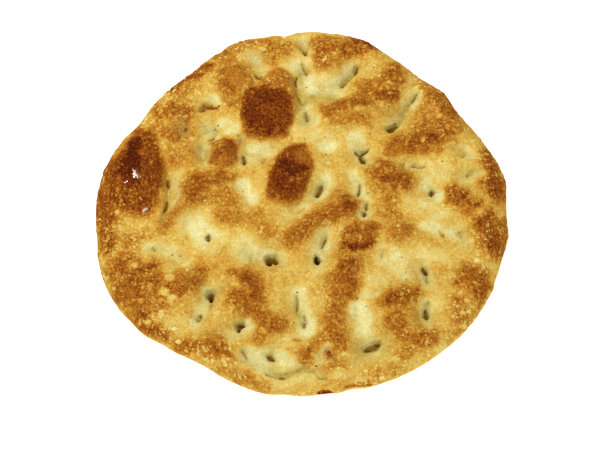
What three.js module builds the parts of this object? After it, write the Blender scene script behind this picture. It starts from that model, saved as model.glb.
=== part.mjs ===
// A round pinsa without topping: one baked piece of soft dough, pressed full of fingertip
// dimples, with gas bubbles and browned mounds left standing between them.
// Millimetres, +Z up. The origin is on the table under the middle, and -Y is the front.
import * as THREE from "three";

// Driving dimensions.
const WIDTH = 260; // left to right
const DEPTH = 257; // front to back
const CRUMB_TOP = 12; // height of the plain top between bumps and dimples
const WAIST = 4.5; // height of the widest line of the edge
const SHOULDER = 14; // how far in from the waist the edge rounds over to the top
const HEEL = 6; // how far in from the waist the edge rounds under to the table
const LEAST_CRUMB = 2.5; // dough left under the deepest pit
const PIT_SOFTNESS = 1.2; // how gently the pits level out above that

// Fineness of the surface.
const TOP_RINGS = 38; // rings of points from the middle of the top to the waist
const SHOULDER_RINGS = 5; // how many of those lie on the rounded shoulder
const HEEL_RINGS = 3; // rings from the waist down to the table
const LEAST_GROOVE = 2.6; // a narrower groove opens to this half width

const CRUST_COLOR = 0xc49644;
const CRUST_ROUGHNESS = 0.72;

// How far the hand-stretched edge lies from the middle, every ten degrees from +X to the left.
const REACH = [
  129, 129, 124.5, 121, 123, 120, 122, 126.5, 127.5, 126.5, 125, 126.5, 122.5, 119, 120, 120, 124, 128,
  129.5, 129.5, 132.5, 133, 131, 126.5, 123, 125, 127.5, 127, 126.5, 128, 129, 130, 131, 130.5, 130, 129,
];

// An oval bump or dent: its middle, half length, half width, the turn of its length in degrees
// from +X, and how much it raises or lowers the top.
const spot = (x, y, halfLength, halfWidth, turn, amount) => ({ x, y, halfLength, halfWidth, turn, amount });

// A groove or pit: its depth, half width, and the points that its bottom follows.
const groove = (depth, halfWidth, ...path) => ({ depth, halfWidth, path });

// Gas bubbles under the skin, with steep sides.
const BUBBLES = [
  spot(-104, 12, 31, 18, 86, 7),
  spot(-23, 62, 20, 17, 75, 6),
  spot(-17, 86, 11, 10, 0, 4),
  spot(-42.5, 85, 12, 11, 60, 5),
  spot(-8, 14, 25, 13, 68, 6),
  spot(-51, 31, 11, 10, 90, 4),
];

// Soft mounds, round the rim first and then over the inside.
const MOUNDS = [
  spot(118, 14, 18, 8, 98, 2.5),
  spot(88, 68, 20, 9, -50, 3),
  spot(44, 112, 10, 5, -30, 2.5),
  spot(20, 111, 14, 12, 0, 3.5),
  spot(-20, 111, 12, 8, 0, 2.5),
  spot(-37, 113, 10, 6, 10, 2),
  spot(-74, 88, 16, 6, 45, 2.5),
  spot(-119, -28, 24, 8, 92, 2.5),
  spot(-101, -58, 21, 16, -40, 3.5),
  spot(-86, -88, 15, 7, -38, 2.5),
  spot(-35, -114, 16, 7, -22, 4),
  spot(0, -118, 20, 5, 3, 4.5),
  spot(22, -113, 9, 5, 25, 2.5),
  spot(48, -110, 12, 6, 22, 2.5),
  spot(93, -84, 22, 6, 45, 2),
  spot(101, -58, 14, 13, 0, 3.5),
  spot(113, -25, 18, 10, 92, 3.5),
  spot(-86, 62, 11, 7, -10, 2.5),
  spot(-86, 43, 11, 9, 0, 2),
  spot(59, 86, 10, 14, 0, 3.5),
  spot(32, 62, 17, 11, 20, 4),
  spot(80, 41, 21, 8, 8, 3.5),
  spot(57, 15, 13, 11, 0, 4),
  spot(99, 2, 12, 7, -35, 3),
  spot(13, -15, 27, 7, 33, 4),
  spot(38, -29, 13, 10, 30, 3.5),
  spot(60, -25, 9, 7, 0, 3),
  spot(27, -56, 16, 9, 80, 4),
  spot(18, -86, 17, 8, 90, 3),
  spot(2, -104, 8, 6, 30, 3),
  spot(56, -69, 13, 7, 10, 4),
  spot(58, -85, 8, 10, 0, 3),
  spot(69, -95, 12, 9, 20, 3),
  spot(-60, 11, 16, 10, 28, 3.5),
  spot(-76, -8, 18, 6, 50, 3),
  spot(-46, -12, 10, 8, 0, 2.5),
  spot(-17, -22, 11, 9, 30, 2.5),
  spot(-72, -58, 10, 8, 0, 3),
  spot(-36, -64, 13, 11, 90, 4),
  spot(-20, -85, 12, 10, 90, 3.5),
  spot(-53, -98, 12, 9, 0, 3.5),
];

// Broad dents that the fingertips pressed, from the back row to the front row.
const DENTS = [
  spot(3, 117, 6, 5, 90, 4),
  spot(-30, 100, 10, 9, 0, 4),
  spot(2, 94, 14, 8, 95, 3.5),
  spot(31, 93, 13, 6, 55, 4),
  spot(12, 79, 17, 7, 8, 3.5),
  spot(-61, 68, 9, 5, 12, 3),
  spot(66, 65, 17, 7, 57, 4.5),
  spot(3, 62, 10, 7, 90, 3),
  spot(-50, 59, 8, 6, 0, 2),
  spot(-60, 49, 8, 6, 20, 3.5),
  spot(-64, 34, 8, 5, 95, 3.5),
  spot(-30, 36, 13, 9, 8, 4),
  spot(17, 37, 8, 7, 0, 2.5),
  spot(38, 35, 10, 8, 30, 3.5),
  spot(104, 35, 6, 5, 60, 2.5),
  spot(73, 25, 12, 6, 0, 2.5),
  spot(107, 18, 9, 5, 42, 2.5),
  spot(-83, 8, 17, 5, 93, 3.5),
  spot(-34, 7, 12, 7, -70, 3.5),
  spot(13, 11, 12, 8, 57, 3.5),
  spot(34, 12, 12, 6, 92, 3),
  spot(81, 8, 10, 7, 15, 3),
  spot(-2, -5, 10, 5, 20, 3),
  spot(41, -6, 10, 6, 75, 3.5),
  spot(-61, -22, 15, 12, 40, 3),
  spot(86, -25, 10, 7, 0, 2),
  spot(97, -23, 8, 6, 90, 2.5),
  spot(12.5, -33, 15, 7, 72, 4),
  spot(-85, -37, 12, 5, -20, 2.5),
  spot(-73, -44, 8, 5, -25, 2.5),
  spot(-22, -39, 14, 9, 5, 3.5),
  spot(60, -44, 16, 11, -10, 2),
  spot(75, -50, 12, 6, -68, 3.5),
  spot(-57, -65, 8, 7, 60, 3.5),
  spot(-62, -78, 9, 6, 80, 3),
  spot(0, -75, 18, 8, -80, 3.5),
  spot(76, -76, 10, 7, 93, 3.5),
  spot(-39, -85, 9, 7, 25, 4),
  spot(38, -88, 20, 9, 100, 3.5),
  spot(42, -100, 9, 8, 32, 3),
  spot(15, -105, 8, 6, 60, 3),
  spot(-18, -107, 21, 8, -6, 4.5),
];

// Holes and creases at the bottom of the dents, in the same order.
const GROOVES = [
  groove(3.5, 1.5, [0.5, 110], [4, 110]),
  groove(4, 1.6, [-30, 93], [-27, 91.5], [-25.5, 93.5]),
  groove(3.5, 1, [0.8, 101], [3.3, 94]),
  groove(4.5, 1.6, [26, 85], [31, 90], [37, 99]),
  groove(3, 1.3, [-2, 77], [0.5, 71.5], [12, 73]),
  groove(3.5, 1.6, [-66, 66], [-63, 70], [-56, 68]),
  groove(4, 1.2, [76, 79], [71, 70], [62, 56]),
  groove(5, 2, [58, 52], [61, 54.5]),
  groove(3, 1.1, [3, 64], [3.8, 58]),
  groove(3, 1.4, [-59, 48], [-56, 45.5]),
  groove(2.5, 1.3, [-64, 34], [-62.5, 28.5]),
  groove(4, 1.5, [-37, 30], [-36, 26]),
  groove(4.5, 1.5, [36, 34], [38.5, 33], [43, 37]),
  groove(5, 1.8, [38, 33.5], [40.5, 27]),
  groove(3, 1, [71, 24.7], [75, 25.3], [79, 24.4]),
  groove(4, 1.6, [-85.5, 15], [-85.5, 8], [-85, -8], [-90, -16]),
  groove(4.5, 1.7, [9.3, 3.5], [13, 10.5]),
  groove(3, 1, [37, 12], [35.5, 3]),
  groove(4.5, 1.8, [81.5, 6.5], [83, 4.5]),
  groove(2.5, 1.4, [-8, -8], [-3, -5.5], [3, -4]),
  groove(3.5, 1.1, [41.5, -2], [39, -11]),
  groove(5, 1.5, [-59, -22.5], [-58.5, -27]),
  groove(3, 1.2, [86.3, -23], [88.8, -25]),
  groove(3, 1.1, [99.2, -22.5], [98.8, -26.5]),
  groove(3.5, 1, [12.5, -33], [14.8, -27.5]),
  groove(5, 1.9, [9.5, -41], [10.3, -45]),
  groove(2.5, 1.3, [-92, -32], [-90.5, -36]),
  groove(5.5, 2.6, [-20, -42.5], [-16.5, -42.5]),
  groove(4.5, 1.5, [74, -45], [77.4, -52.4], [76.7, -57]),
  groove(5, 2, [-56.5, -66], [-55, -69.5], [-56, -74]),
  groove(4, 1.6, [-61.5, -79.5], [-62.5, -82.5]),
  groove(4, 1.4, [-3, -66], [-2.5, -75], [1.6, -83], [2, -87]),
  groove(5, 1.8, [75.6, -77], [76, -82]),
  groove(5, 1.9, [-36, -85.5], [-37.5, -87.5], [-39, -91]),
  groove(5.5, 2.3, [39, -101.5], [46.2, -96.8]),
  groove(4.5, 2.1, [16.2, -103], [17, -105]),
  groove(3, 1, [-35, -102], [-33, -106]),
  groove(4, 1.6, [-20.5, -105], [-16.5, -107.5]),
  groove(4, 1.5, [-20, -115], [-10.5, -117.5], [2, -114], [10, -113]),
];

// Distance from the middle of a spot, as 1 along its edge.
function spotDistance(place, x, y) {
  const turn = THREE.MathUtils.degToRad(place.turn);
  const along = (x - place.x) * Math.cos(turn) + (y - place.y) * Math.sin(turn);
  const across = (y - place.y) * Math.cos(turn) - (x - place.x) * Math.sin(turn);
  return Math.hypot(along / place.halfLength, across / place.halfWidth);
}

// Distance from the line that a groove follows.
function grooveDistance({ path }, x, y) {
  const here = new THREE.Vector3(x, y, 0);
  const nearest = new THREE.Vector3();
  const points = path.map(([px, py]) => new THREE.Vector3(px, py, 0));
  const stretches = points.slice(1).map((end, i) => new THREE.Line3(points[i], end));
  const distances = stretches.map((line) => line.closestPointToPoint(here, true, nearest).distanceTo(here));
  return Math.min(...distances);
}

const swell = (distance) => Math.exp(-distance * distance);
const dome = (distance) => Math.sqrt(Math.max(0, 1 - distance * distance));
const addUp = (places, amountAt) => places.reduce((sum, place) => sum + amountAt(place), 0);

// Height of the top above the table, before the edge rounds it down.
function topHeight(x, y) {
  const bubbles = addUp(BUBBLES, (place) => place.amount * dome(spotDistance(place, x, y)));
  const mounds = addUp(MOUNDS, (place) => place.amount * swell(spotDistance(place, x, y)));
  const dents = addUp(DENTS, (place) => place.amount * swell(spotDistance(place, x, y)));
  const grooves = addUp(GROOVES, (line) => {
    const halfWidth = Math.max(line.halfWidth, LEAST_GROOVE);
    return line.depth * swell(grooveDistance(line, x, y) / halfWidth);
  });
  const spare = CRUMB_TOP + bubbles + mounds - dents - grooves - LEAST_CRUMB;
  return LEAST_CRUMB + PIT_SOFTNESS * Math.log1p(Math.exp(spare / PIT_SOFTNESS));
}

// The waist as one closed smooth line, fitted to the width and depth of the whole.
function waistLine() {
  const points = REACH.map((reach, i) => {
    const angle = (i / REACH.length) * 2 * Math.PI;
    return new THREE.Vector3(reach * Math.cos(angle), reach * Math.sin(angle), 0);
  });
  const curve = new THREE.CatmullRomCurve3(points, true, "catmullrom");
  const outermost = curve.getPoints(6 * TOP_RINGS);
  const box = new THREE.Box3().setFromPoints(outermost);
  const middle = box.getCenter(new THREE.Vector3());
  const size = box.getSize(new THREE.Vector3());
  const fit = new THREE.Vector3(WIDTH / size.x, DEPTH / size.y, 1);
  return (turnShare) => curve.getPoint(turnShare).sub(middle).multiply(fit);
}

// Points of the top: ring 0 is the middle, and ring k has 6 k points.
function topPoint(waist, ring, step) {
  const edge = waist(ring ? step / (6 * ring) : 0);
  const reach = edge.length();
  const flatRings = TOP_RINGS - SHOULDER_RINGS;
  const bend = Math.max(0, (ring - flatRings) / SHOULDER_RINGS) * (Math.PI / 2);
  const flatShare = Math.min(1, ring / flatRings);
  const distance = flatShare * (reach - SHOULDER) + SHOULDER * Math.sin(bend);
  const x = (edge.x / reach) * distance;
  const y = (edge.y / reach) * distance;
  return [x, y, WAIST + (topHeight(x, y) - WAIST) * Math.cos(bend)];
}

// Points of the edge below the waist, down to the flat underside.
function heelPoint(waist, ring, step) {
  const edge = waist(step / (6 * TOP_RINGS));
  const bend = (ring / HEEL_RINGS) * (Math.PI / 2);
  const inset = HEEL * (1 - Math.cos(bend));
  edge.setLength(edge.length() - inset);
  return [edge.x, edge.y, WAIST * (1 - Math.sin(bend))];
}

// Triangles between two neighbouring rings of the top, sector by sector.
function topRingFaces(ring, ringStart) {
  const faces = [];
  const outer = (i) => ringStart(ring) + (i % (6 * ring));
  const inner = (i) => ringStart(ring - 1) + (ring > 1 ? i % (6 * (ring - 1)) : 0);
  for (let sector = 0; sector < 6; sector += 1) {
    for (let i = 0; i < ring; i += 1) {
      const out = sector * ring + i;
      const into = sector * (ring - 1) + i;
      faces.push(inner(into), outer(out), outer(out + 1));
      if (i < ring - 1) faces.push(inner(into), outer(out + 1), inner(into + 1));
    }
  }
  return faces;
}

function pinsaGeometry() {
  const waist = waistLine();
  const points = [];
  const faces = [];
  const around = 6 * TOP_RINGS;
  const ringStart = (ring) => (ring ? 1 + 3 * ring * (ring - 1) : 0);
  for (let ring = 0; ring <= TOP_RINGS; ring += 1) {
    for (let step = 0; step < Math.max(1, 6 * ring); step += 1) points.push(...topPoint(waist, ring, step));
    if (ring) faces.push(...topRingFaces(ring, ringStart));
  }
  const waistStart = ringStart(TOP_RINGS);
  for (let ring = 1; ring <= HEEL_RINGS; ring += 1) {
    const upper = waistStart + (ring - 1) * around;
    for (let step = 0; step < around; step += 1) {
      const next = (step + 1) % around;
      points.push(...heelPoint(waist, ring, step));
      faces.push(upper + step, upper + around + step, upper + around + next);
      faces.push(upper + step, upper + around + next, upper + next);
    }
  }
  const heelStart = waistStart + HEEL_RINGS * around;
  const underMiddle = points.length / 3;
  points.push(0, 0, 0);
  for (let step = 0; step < around; step += 1) {
    faces.push(underMiddle, heelStart + ((step + 1) % around), heelStart + step);
  }
  const geometry = new THREE.BufferGeometry();
  geometry.setAttribute("position", new THREE.Float32BufferAttribute(points, 3));
  geometry.setIndex(faces);
  geometry.computeVertexNormals();
  return geometry;
}

function crustMaterial() {
  return new THREE.MeshStandardMaterial({ color: CRUST_COLOR, roughness: CRUST_ROUGHNESS, metalness: 0 });
}

const pinsa = new THREE.Mesh(pinsaGeometry(), crustMaterial());
pinsa.name = "pinsa";

const part = new THREE.Group();
part.add(pinsa);

export default part;
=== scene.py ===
import math

import bpy
import numpy as np
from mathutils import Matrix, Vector, kdtree


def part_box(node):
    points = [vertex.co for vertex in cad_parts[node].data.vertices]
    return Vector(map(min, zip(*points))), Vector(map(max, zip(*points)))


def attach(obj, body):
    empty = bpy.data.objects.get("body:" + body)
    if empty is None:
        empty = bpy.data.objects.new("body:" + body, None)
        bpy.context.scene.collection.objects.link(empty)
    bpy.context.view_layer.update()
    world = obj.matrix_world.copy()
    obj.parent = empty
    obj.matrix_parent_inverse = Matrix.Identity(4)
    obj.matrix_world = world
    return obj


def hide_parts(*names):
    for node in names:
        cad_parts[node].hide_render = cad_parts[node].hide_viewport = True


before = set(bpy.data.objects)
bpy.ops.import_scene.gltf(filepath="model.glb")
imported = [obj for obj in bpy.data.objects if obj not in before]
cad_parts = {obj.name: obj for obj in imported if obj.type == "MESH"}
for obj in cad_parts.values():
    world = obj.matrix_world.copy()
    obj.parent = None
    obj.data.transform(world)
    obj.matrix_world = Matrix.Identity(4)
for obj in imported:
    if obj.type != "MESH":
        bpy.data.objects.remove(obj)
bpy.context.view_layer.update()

# Sizes of the bread, in millimetres. The width and depth come from the frame.
MM = 0.001
LOW, HIGH = (np.array(corner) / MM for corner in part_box("pinsa"))
CRUMB_TOP = 12.0
WAIST = 4.5
SHOULDER = 14.0
HEEL = 6.0
LEAST_CRUMB = 2.0
PIT_SOFTNESS = 0.8

# Fineness of the mesh, with six more points in each ring of the top than in the one before. Near
# pits it is refined, out to these distances and as far as the edge bends by this angle in radians.
TOP_RINGS = 144
AROUND = 6 * TOP_RINGS
SHOULDER_RINGS = 20
HEEL_RINGS = 4
UNDER_SHARES = (0.96, 0.85, 0.6, 0.3)
REFINE_LIMITS = (2.2, 1.5)
REFINE_BEND = 1
SEED = 20

# How far the edge lies from the middle, every ten degrees from +X to the left.
REACH = (
    129, 129, 124.5, 121, 123, 120, 122, 126.5, 127.5, 126.5, 125, 126.5,
    122.5, 119, 120, 120, 124, 128, 129.5, 129.5, 132.5, 133, 131, 126.5,
    123, 125, 127.5, 127, 126.5, 128, 129, 130, 131, 130.5, 130, 129,
)

# Nicks of the edge, and swellings, whose depth is below 0: place, half width and depth.
NICKS = (
    (126, -24, 10, -1.5),
    (128.5, 12.5, 6, -1),
    (86, 86, 12, 0.9),
    (99, 70, 10, 1.1),
    (20, 125, 6, 1.2),
    (-10, 126, 5, 1.6),
    (-51, 110, 4, 3),
    (-109, 56, 7, 1.2),
    (-101, -79, 8, 0.9),
    (-84, -93, 8, 0.9),
    (-10, -126, 6, 1.2),
    (30, -124, 6, 0.9),
)

# The dark notch under the front edge: middle, half width, its top as it shows, how far that drops
# to the sides, depth, its dark brown, partly scorched crust and partly painted shade, and how soft its
# edges are.
NOTCH_MIDDLE = 14.0
NOTCH_HALF = 5.5
NOTCH_TOP = -127.5
NOTCH_DROP = 2.7
NOTCH_DEPTH = 0.5
NOTCH_SHADE_BROWN = 0.93
NOTCH_TOP_EDGE = 0.25
NOTCH_SIDE_EDGE = 0.3

# Bubbles: middle x and y, half length, half width, turn in degrees, how full the corners are (2 is
# an oval), height, how dark the top is baked, and how dark the painted shade along the foot on the left
# and far side is.
BUBBLES = (
    (-105, 16, 30, 18, 87, 2.4, 7, 0.87, 0),
    (-21, 60.8, 18.5, 17, 83, 4, 6.5, 0.92, 0.3),
    (-13.5, 76.5, 20, 12.5, 105, 2.3, 5, 0.68, 0),
    (-43, 82, 15, 11.5, 95, 2.4, 5.5, 0.62, 0.12),
    (-7.8, 15, 21.5, 13, 68, 2.4, 6.5, 0.87, 0.15),
    (-51, 30.8, 10.8, 10.5, 90, 2.2, 5.5, 0.77, 0.3),
    (24, -1.5, 8, 7, 0, 2.4, 2, 0.54, 0),
    (66, -83, 9, 5.5, 95, 2.4, 1.6, 0.5, 0),
)
# Ovals: middle x and y, half length, half width, turn in degrees, and height or depth.
MOUNDS = (
    (118, 14, 18, 8, 98, 2.5),
    (88, 68, 20, 9, -50, 3),
    (44, 112, 10, 5, -30, 2.5),
    (20, 111, 14, 12, 0, 3.5),
    (-20, 111, 12, 8, 0, 2.5),
    (-37, 113, 10, 6, 10, 2),
    (-74, 88, 16, 6, 45, 2.5),
    (-119, -28, 24, 8, 92, 2.5),
    (-101, -58, 21, 16, -40, 3.5),
    (-86, -88, 15, 7, -38, 2.5),
    (-35, -114, 16, 7, -22, 4),
    (2, -119, 8, 3.6, 0, 4),
    (-15, -121.8, 8, 3.2, -4, 3.5),
    (22, -113, 9, 5, 25, 2.5),
    (48, -110, 12, 6, 22, 2.5),
    (93, -84, 22, 6, 45, 2),
    (101, -58, 14, 13, 0, 3.5),
    (113, -25, 18, 10, 92, 3.5),
    (-86, 62, 11, 7, -10, 2.5),
    (-86, 43, 11, 9, 0, 2),
    (59, 86, 10, 14, 0, 3.5),
    (32, 62, 17, 11, 20, 4),
    (80, 41, 21, 8, 8, 3.5),
    (57, 15, 13, 11, 0, 4),
    (99, 2, 12, 7, -35, 3),
    (13, -15, 27, 7, 33, 4),
    (38, -29, 13, 10, 30, 3.5),
    (60, -25, 9, 7, 0, 3),
    (27, -56, 16, 9, 80, 4),
    (18, -86, 17, 8, 90, 3),
    (2, -104, 8, 6, 30, 3),
    (56, -69, 13, 7, 10, 4),
    (58, -85, 8, 10, 0, 3),
    (69, -95, 12, 9, 20, 3),
    (-60, 11, 16, 10, 28, 3.5),
    (-76, -8, 18, 6, 50, 3),
    (-46, -12, 10, 8, 0, 2.5),
    (-17, -22, 11, 9, 30, 2.5),
    (-72, -58, 10, 8, 0, 3),
    (-36, -64, 13, 11, 90, 4),
    (-20, -85, 12, 10, 90, 3.5),
    (-53, -98, 12, 9, 0, 3.5),
)
DENTS = (
    (3, 117, 6, 5, 90, 4),
    (-30, 100, 10, 9, 0, 4),
    (2, 94, 14, 8, 95, 3.5),
    (31, 93, 13, 6, 55, 4),
    (12, 79, 17, 7, 8, 3.5),
    (-61, 68, 9, 5, 12, 3),
    (66, 65, 17, 7, 57, 4.5),
    (3, 62, 10, 7, 90, 3),
    (-50, 59, 8, 6, 0, 2),
    (-60, 49, 8, 6, 20, 3.5),
    (-77, 51, 6, 5, 80, 2.5),
    (-64, 33, 9, 4.5, 95, 3.5),
    (-30, 36, 13, 9, 8, 4),
    (17, 37, 8, 7, 0, 2.5),
    (38, 35, 10, 8, 30, 3.5),
    (104, 35, 6, 5, 60, 2.5),
    (73, 25, 12, 6, 0, 2.5),
    (107, 18, 9, 5, 42, 2.5),
    (-83, 8, 17, 5, 93, 3.5),
    (-34, 7, 12, 7, -70, 3.5),
    (13, 11, 12, 8, 57, 3.5),
    (34, 12, 12, 6, 92, 3),
    (81, 8, 10, 7, 15, 3),
    (-2, -5, 10, 5, 20, 3),
    (41, -6, 10, 6, 75, 3.5),
    (-61, -22, 15, 12, 40, 3),
    (86, -25, 10, 7, 0, 2),
    (97, -23, 8, 6, 90, 2.5),
    (12.5, -33, 15, 7, 72, 4),
    (-85, -37, 12, 5, -20, 2.5),
    (-73, -44, 8, 5, -25, 2.5),
    (-22, -39, 14, 9, 5, 3.5),
    (60, -44, 16, 11, -10, 2),
    (75, -50, 12, 6, -68, 3.5),
    (-57, -65, 8, 7, 60, 3.5),
    (-62, -78, 9, 6, 80, 3),
    (0, -75, 18, 8, -80, 3.5),
    (76, -76, 10, 7, 93, 3.5),
    (-39, -85, 9, 7, 25, 4),
    (38, -88, 20, 9, 100, 3.5),
    (42, -100, 9, 8, 32, 3),
    (15, -105, 8, 6, 60, 3),
    (-18, -107, 21, 8, -6, 4.5),
)

# How far the mounds and dents are drawn out in height.
MOUND_GAIN = 1.5
DENT_GAIN = 1.8

# Pits and colours are placed as they show from the front, on the level of the plain top. Ground
# above or below that level lies nearer or farther by this slope. A pit shows at this share of its
# depth, and its true place is found in a few rounds.
SIGHT_SLOPE = 0.488
SIGHT_DEPTH = 0.15
SIGHT_ROUNDS = 3

# Pits: depth, darkness of the painted shade in them, half width at the start and at the end, and the
# points of the bottom.
PITS = (
    (5, 1.1, 2.1, 0.9, (-55.4, -67.8), (-54.8, -70.8)),
    (2, 0.55, 0.9, 0.7, (-54.8, -71.5), (-55.4, -76)),
    (3.5, 0.8, 1, 1.2, (-61, -81), (-62.4, -84.3)),
    (5, 1.15, 1.5, 0.35, (-37.2, -87.2), (-34, -87.5)),
    (5, 1.1, 1.5, 0.4, (-37.6, -87), (-38.3, -91.5)),
    (2.5, 0.65, 0.9, 0.8, (-35, -103.3), (-33, -107.2)),
    (4.5, 0.95, 1.7, 0.4, (-20, -107), (-16.4, -110)),
    (4, 0.95, 1.1, 0.8, (-58.3, -26.6), (-57.6, -30.5)),
    (1.2, 0.4, 0.5, 0.5, (-31.5, -44.5), (-30, -42.5), (-30.2, -40)),
    (5, 1, 2.4, 1.5, (-19.8, -43.4), (-19.8, -46.2)),
    (5, 0.95, 2.2, 1.2, (-17.6, -43.2), (-15.6, -45)),
    (2.5, 0.68, 0.7, 1, (-2.8, -67.5), (-2.4, -77.5)),
    (2, 0.4, 1.2, 1.4, (-1.8, -78), (0.5, -81)),
    (2.5, 0.66, 0.8, 1.1, (1.3, -80.3), (2, -84), (1.6, -88.5)),
    (3, 0, 2, 2, (16.6, -104.8), (17, -106.2)),
    (1.2, 0.3, 0.5, 0.5, (32.8, -75), (34.3, -81.5)),
    (4.5, 0.75, 2.3, 2.8, (40.2, -103), (44.2, -101)),
    (5, 1.05, 1.3, 0.8, (38.9, -103.8), (41, -104.2)),
    (5, 1, 1, 1.2, (44.4, -99.6), (46, -99.6)),
    (1.2, 0.5, 0.5, 0.5, (-7, -9.5), (-3, -11.5), (0, -9.5), (2.2, -7.3)),
    (3, 0.85, 0.4, 0.9, (15.1, -28.8), (13.8, -32)),
    (3, 0.75, 0.9, 0.3, (13.8, -32), (12.4, -35.5)),
    (5.5, 1.15, 1, 2, (9.2, -41), (10.3, -45.8)),
    (2.5, 0.85, 0.4, 0.6, (41.5, -4), (40.8, -9)),
    (3, 1.05, 0.8, 0.4, (40.4, -11), (39, -13.6)),
    (1.2, 0.4, 0.5, 0.6, (51.5, -36), (49.3, -41.5)),
    (4, 1.05, 0.8, 1, (75, -48.5), (77.3, -53.3)),
    (3, 0.6, 0.9, 0.6, (77.2, -53), (76.9, -58)),
    (2.5, 0.45, 0.7, 1.2, (77, -71), (76, -78)),
    (4.5, 0.85, 0.8, 1.8, (75.6, -76.5), (76, -82.6)),
    (4, 0.95, 1.6, 0.6, (83, 4.3), (82.1, 0.8)),
    (1.5, 0.6, 0.6, 0.9, (86.5, -24.3), (88.4, -27.4)),
    (2, 0.5, 0.9, 0.7, (98.8, -24.5), (99.8, -28)),
    (2, 0.6, 0.5, 0.6, (103, 28.8), (105.2, 31.2)),
    (1.8, 0.4, 0.8, 0.9, (105.5, 14.5), (110, 19)),
    (2.2, 0.6, 0.6, 0.5, (70.5, 21.5), (72.5, 22.4), (75, 21.5), (79, 22)),
    (2, 0.4, 0.8, 0.8, (65.3, 19.5), (66, 24)),
    (3, 0.85, 0.4, 0.6, (76, 76.5), (72, 69.5)),
    (2.5, 0.55, 0.6, 0.7, (72, 69.5), (67.3, 61.5), (64, 54)),
    (4, 0.82, 1.4, 2.2, (62.2, 52.5), (57.8, 49.2)),
    (3.5, 0.85, 1, 1.1, (37, 97), (35.8, 93)),
    (3, 0.6, 0.8, 1, (35.8, 93), (30, 86)),
    (3, 0.75, 1.1, 0.8, (29.5, 85.2), (26, 81.7)),
    (3.5, 0.75, 0.3, 0.8, (0.3, 101), (3.5, 91.8)),
    (3, 0.9, 0.5, 0.7, (-2.8, 89.5), (-4, 86), (-3.4, 82)),
    (3.5, 0.75, 2, 0.8, (2.3, 110), (2.8, 107)),
    (2, 0.6, 0.5, 0.7, (-3, 76), (1.2, 68.7)),
    (1.8, 0.45, 0.7, 0.5, (1.2, 68.7), (4.5, 70.6), (16, 71), (24, 72.5)),
    (3, 0.75, 0.5, 0.9, (3.2, 62.5), (4, 55.6)),
    (4, 0.9, 0.6, 1.1, (43.4, 34.4), (38, 31)),
    (3.5, 0.85, 0.4, 1, (34.3, 33.4), (37.5, 30.8)),
    (4.5, 1, 1.2, 1.1, (37.9, 30.5), (40.3, 24.6)),
    (4.5, 0.8, 1.7, 1.2, (13, 7.4), (10, 1.8)),
    (4.5, 1, 0.8, 1, (11.5, 3), (9.8, 1.4)),
    (2.5, 0.85, 0.4, 0.9, (37, 10), (36.5, 4), (35.6, 1.2)),
    (3, 0.85, 0.9, 1, (-59.5, 41), (-56.4, 43.6)),
    (2, 0.45, 0.7, 1.2, (-55.7, 50), (-56, 44.5)),
    (3, 0.85, 0.8, 0.8, (-74.4, 51), (-75.4, 47.4)),
    (2, 0.6, 0.5, 0.6, (-41, 45.5), (-38.8, 41.6)),
    (4, 0.85, 0.7, 1.3, (-37.2, 30), (-36.3, 24)),
    (2, 0.5, 0.8, 0.8, (-23, 28), (-25, 24.3)),
    (1, 0.12, 2.4, 1.6, (-65.5, 37), (-64, 31), (-62.8, 25)),
    (3.5, 0.85, 0.8, 0.9, (-30.3, 91), (-28.4, 88.8), (-26, 89.4)),
    (3.5, 0.7, 1.2, 0.6, (-66, 62.8), (-63, 66.7), (-58.5, 66), (-55, 65)),
    (2.5, 0.35, 1, 1, (-86, 18), (-85, 10), (-84.5, 2), (-84.8, -6), (-86.5, -13), (-88, -17)),
    (3, 0.85, 0.9, 1, (-85.2, 13.5), (-84.8, 7)),
    (3, 0.85, 0.8, 1.2, (-84.7, -2), (-85.7, -10.5)),
    (0.8, 0.25, 0.6, 0.6, (-89, -21), (-83, -11), (-77, 0), (-74, 6)),
    (1.8, 0.6, 0.6, 0.7, (-92, -35), (-90.5, -37.5)),
    (2.5, 0.7, 0.4, 0.8, (-21, -117.2), (-15, -118.8), (-11, -120)),
    (3, 0.85, 0.9, 0.5, (-11, -120), (-7, -118), (-2, -115.6)),
    (2.5, 0.75, 0.5, 0.5, (-2, -115.4), (3, -115), (8, -115.6)),
    (3.5, 1.15, 0.9, 1, (-12.2, -119.5), (-9.6, -119.6)),
    (1.5, 0.65, 0.4, 0.5, (9.2, -118), (11, -120), (15, -119.6)),
    (0.8, 0, 0.6, 0.6, (-36, 88), (-38, 94), (-42, 96.3), (-47, 93.5), (-48.5, 88), (-46.5, 82)),
    (1.2, 0.35, 0.6, 0.6, (27.8, -122.3), (30, -120.5), (31, -121.5)),
    (1.5, 0.5, 0.4, 0.3, (33.5, -122.6), (37.5, -122.9)),
)

# Pinholes: place and radius.
PINHOLES = (
    (-2.6, -65, 0.6), (-4.5, -85, 0.5), (9, -112.6, 0.7), (33.8, -68.6, 0.7), (39.3, -74.2, 0.4),
    (64.2, -51.3, 0.45), (68, -51.3, 0.45), (64.3, -56, 0.45), (77, -58.6, 0.7), (62.1, -41.4, 0.4),
    (95.5, -8.7, 0.5), (90, 26, 0.55), (72.3, 22.6, 0.7), (54.5, 68.3, 0.8), (57, 66.8, 0.7),
    (62, 53.6, 0.7), (46.4, 67.2, 0.6), (47.3, 96.5, 0.45), (44.3, 46, 0.6), (2.2, 42, 0.5),
    (15.2, 43.3, 0.35), (15.8, 31.3, 0.7), (13.5, 30.7, 0.5), (18.6, 30.8, 0.4), (42.2, 3.2, 0.5),
    (3.5, 82, 0.5), (-54, 52.5, 0.6), (-62, 52, 0.35), (-54, 67.2, 0.95), (-62, 27.2, 0.55),
    (-80, 30.5, 0.8), (-37, 4.6, 0.5), (-21.5, 1.5, 0.8), (-75, -40.7, 0.5), (-80, -40, 0.5),
    (-27.5, -114, 0.4), (-15.5, 105, 0.5),
)

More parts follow.
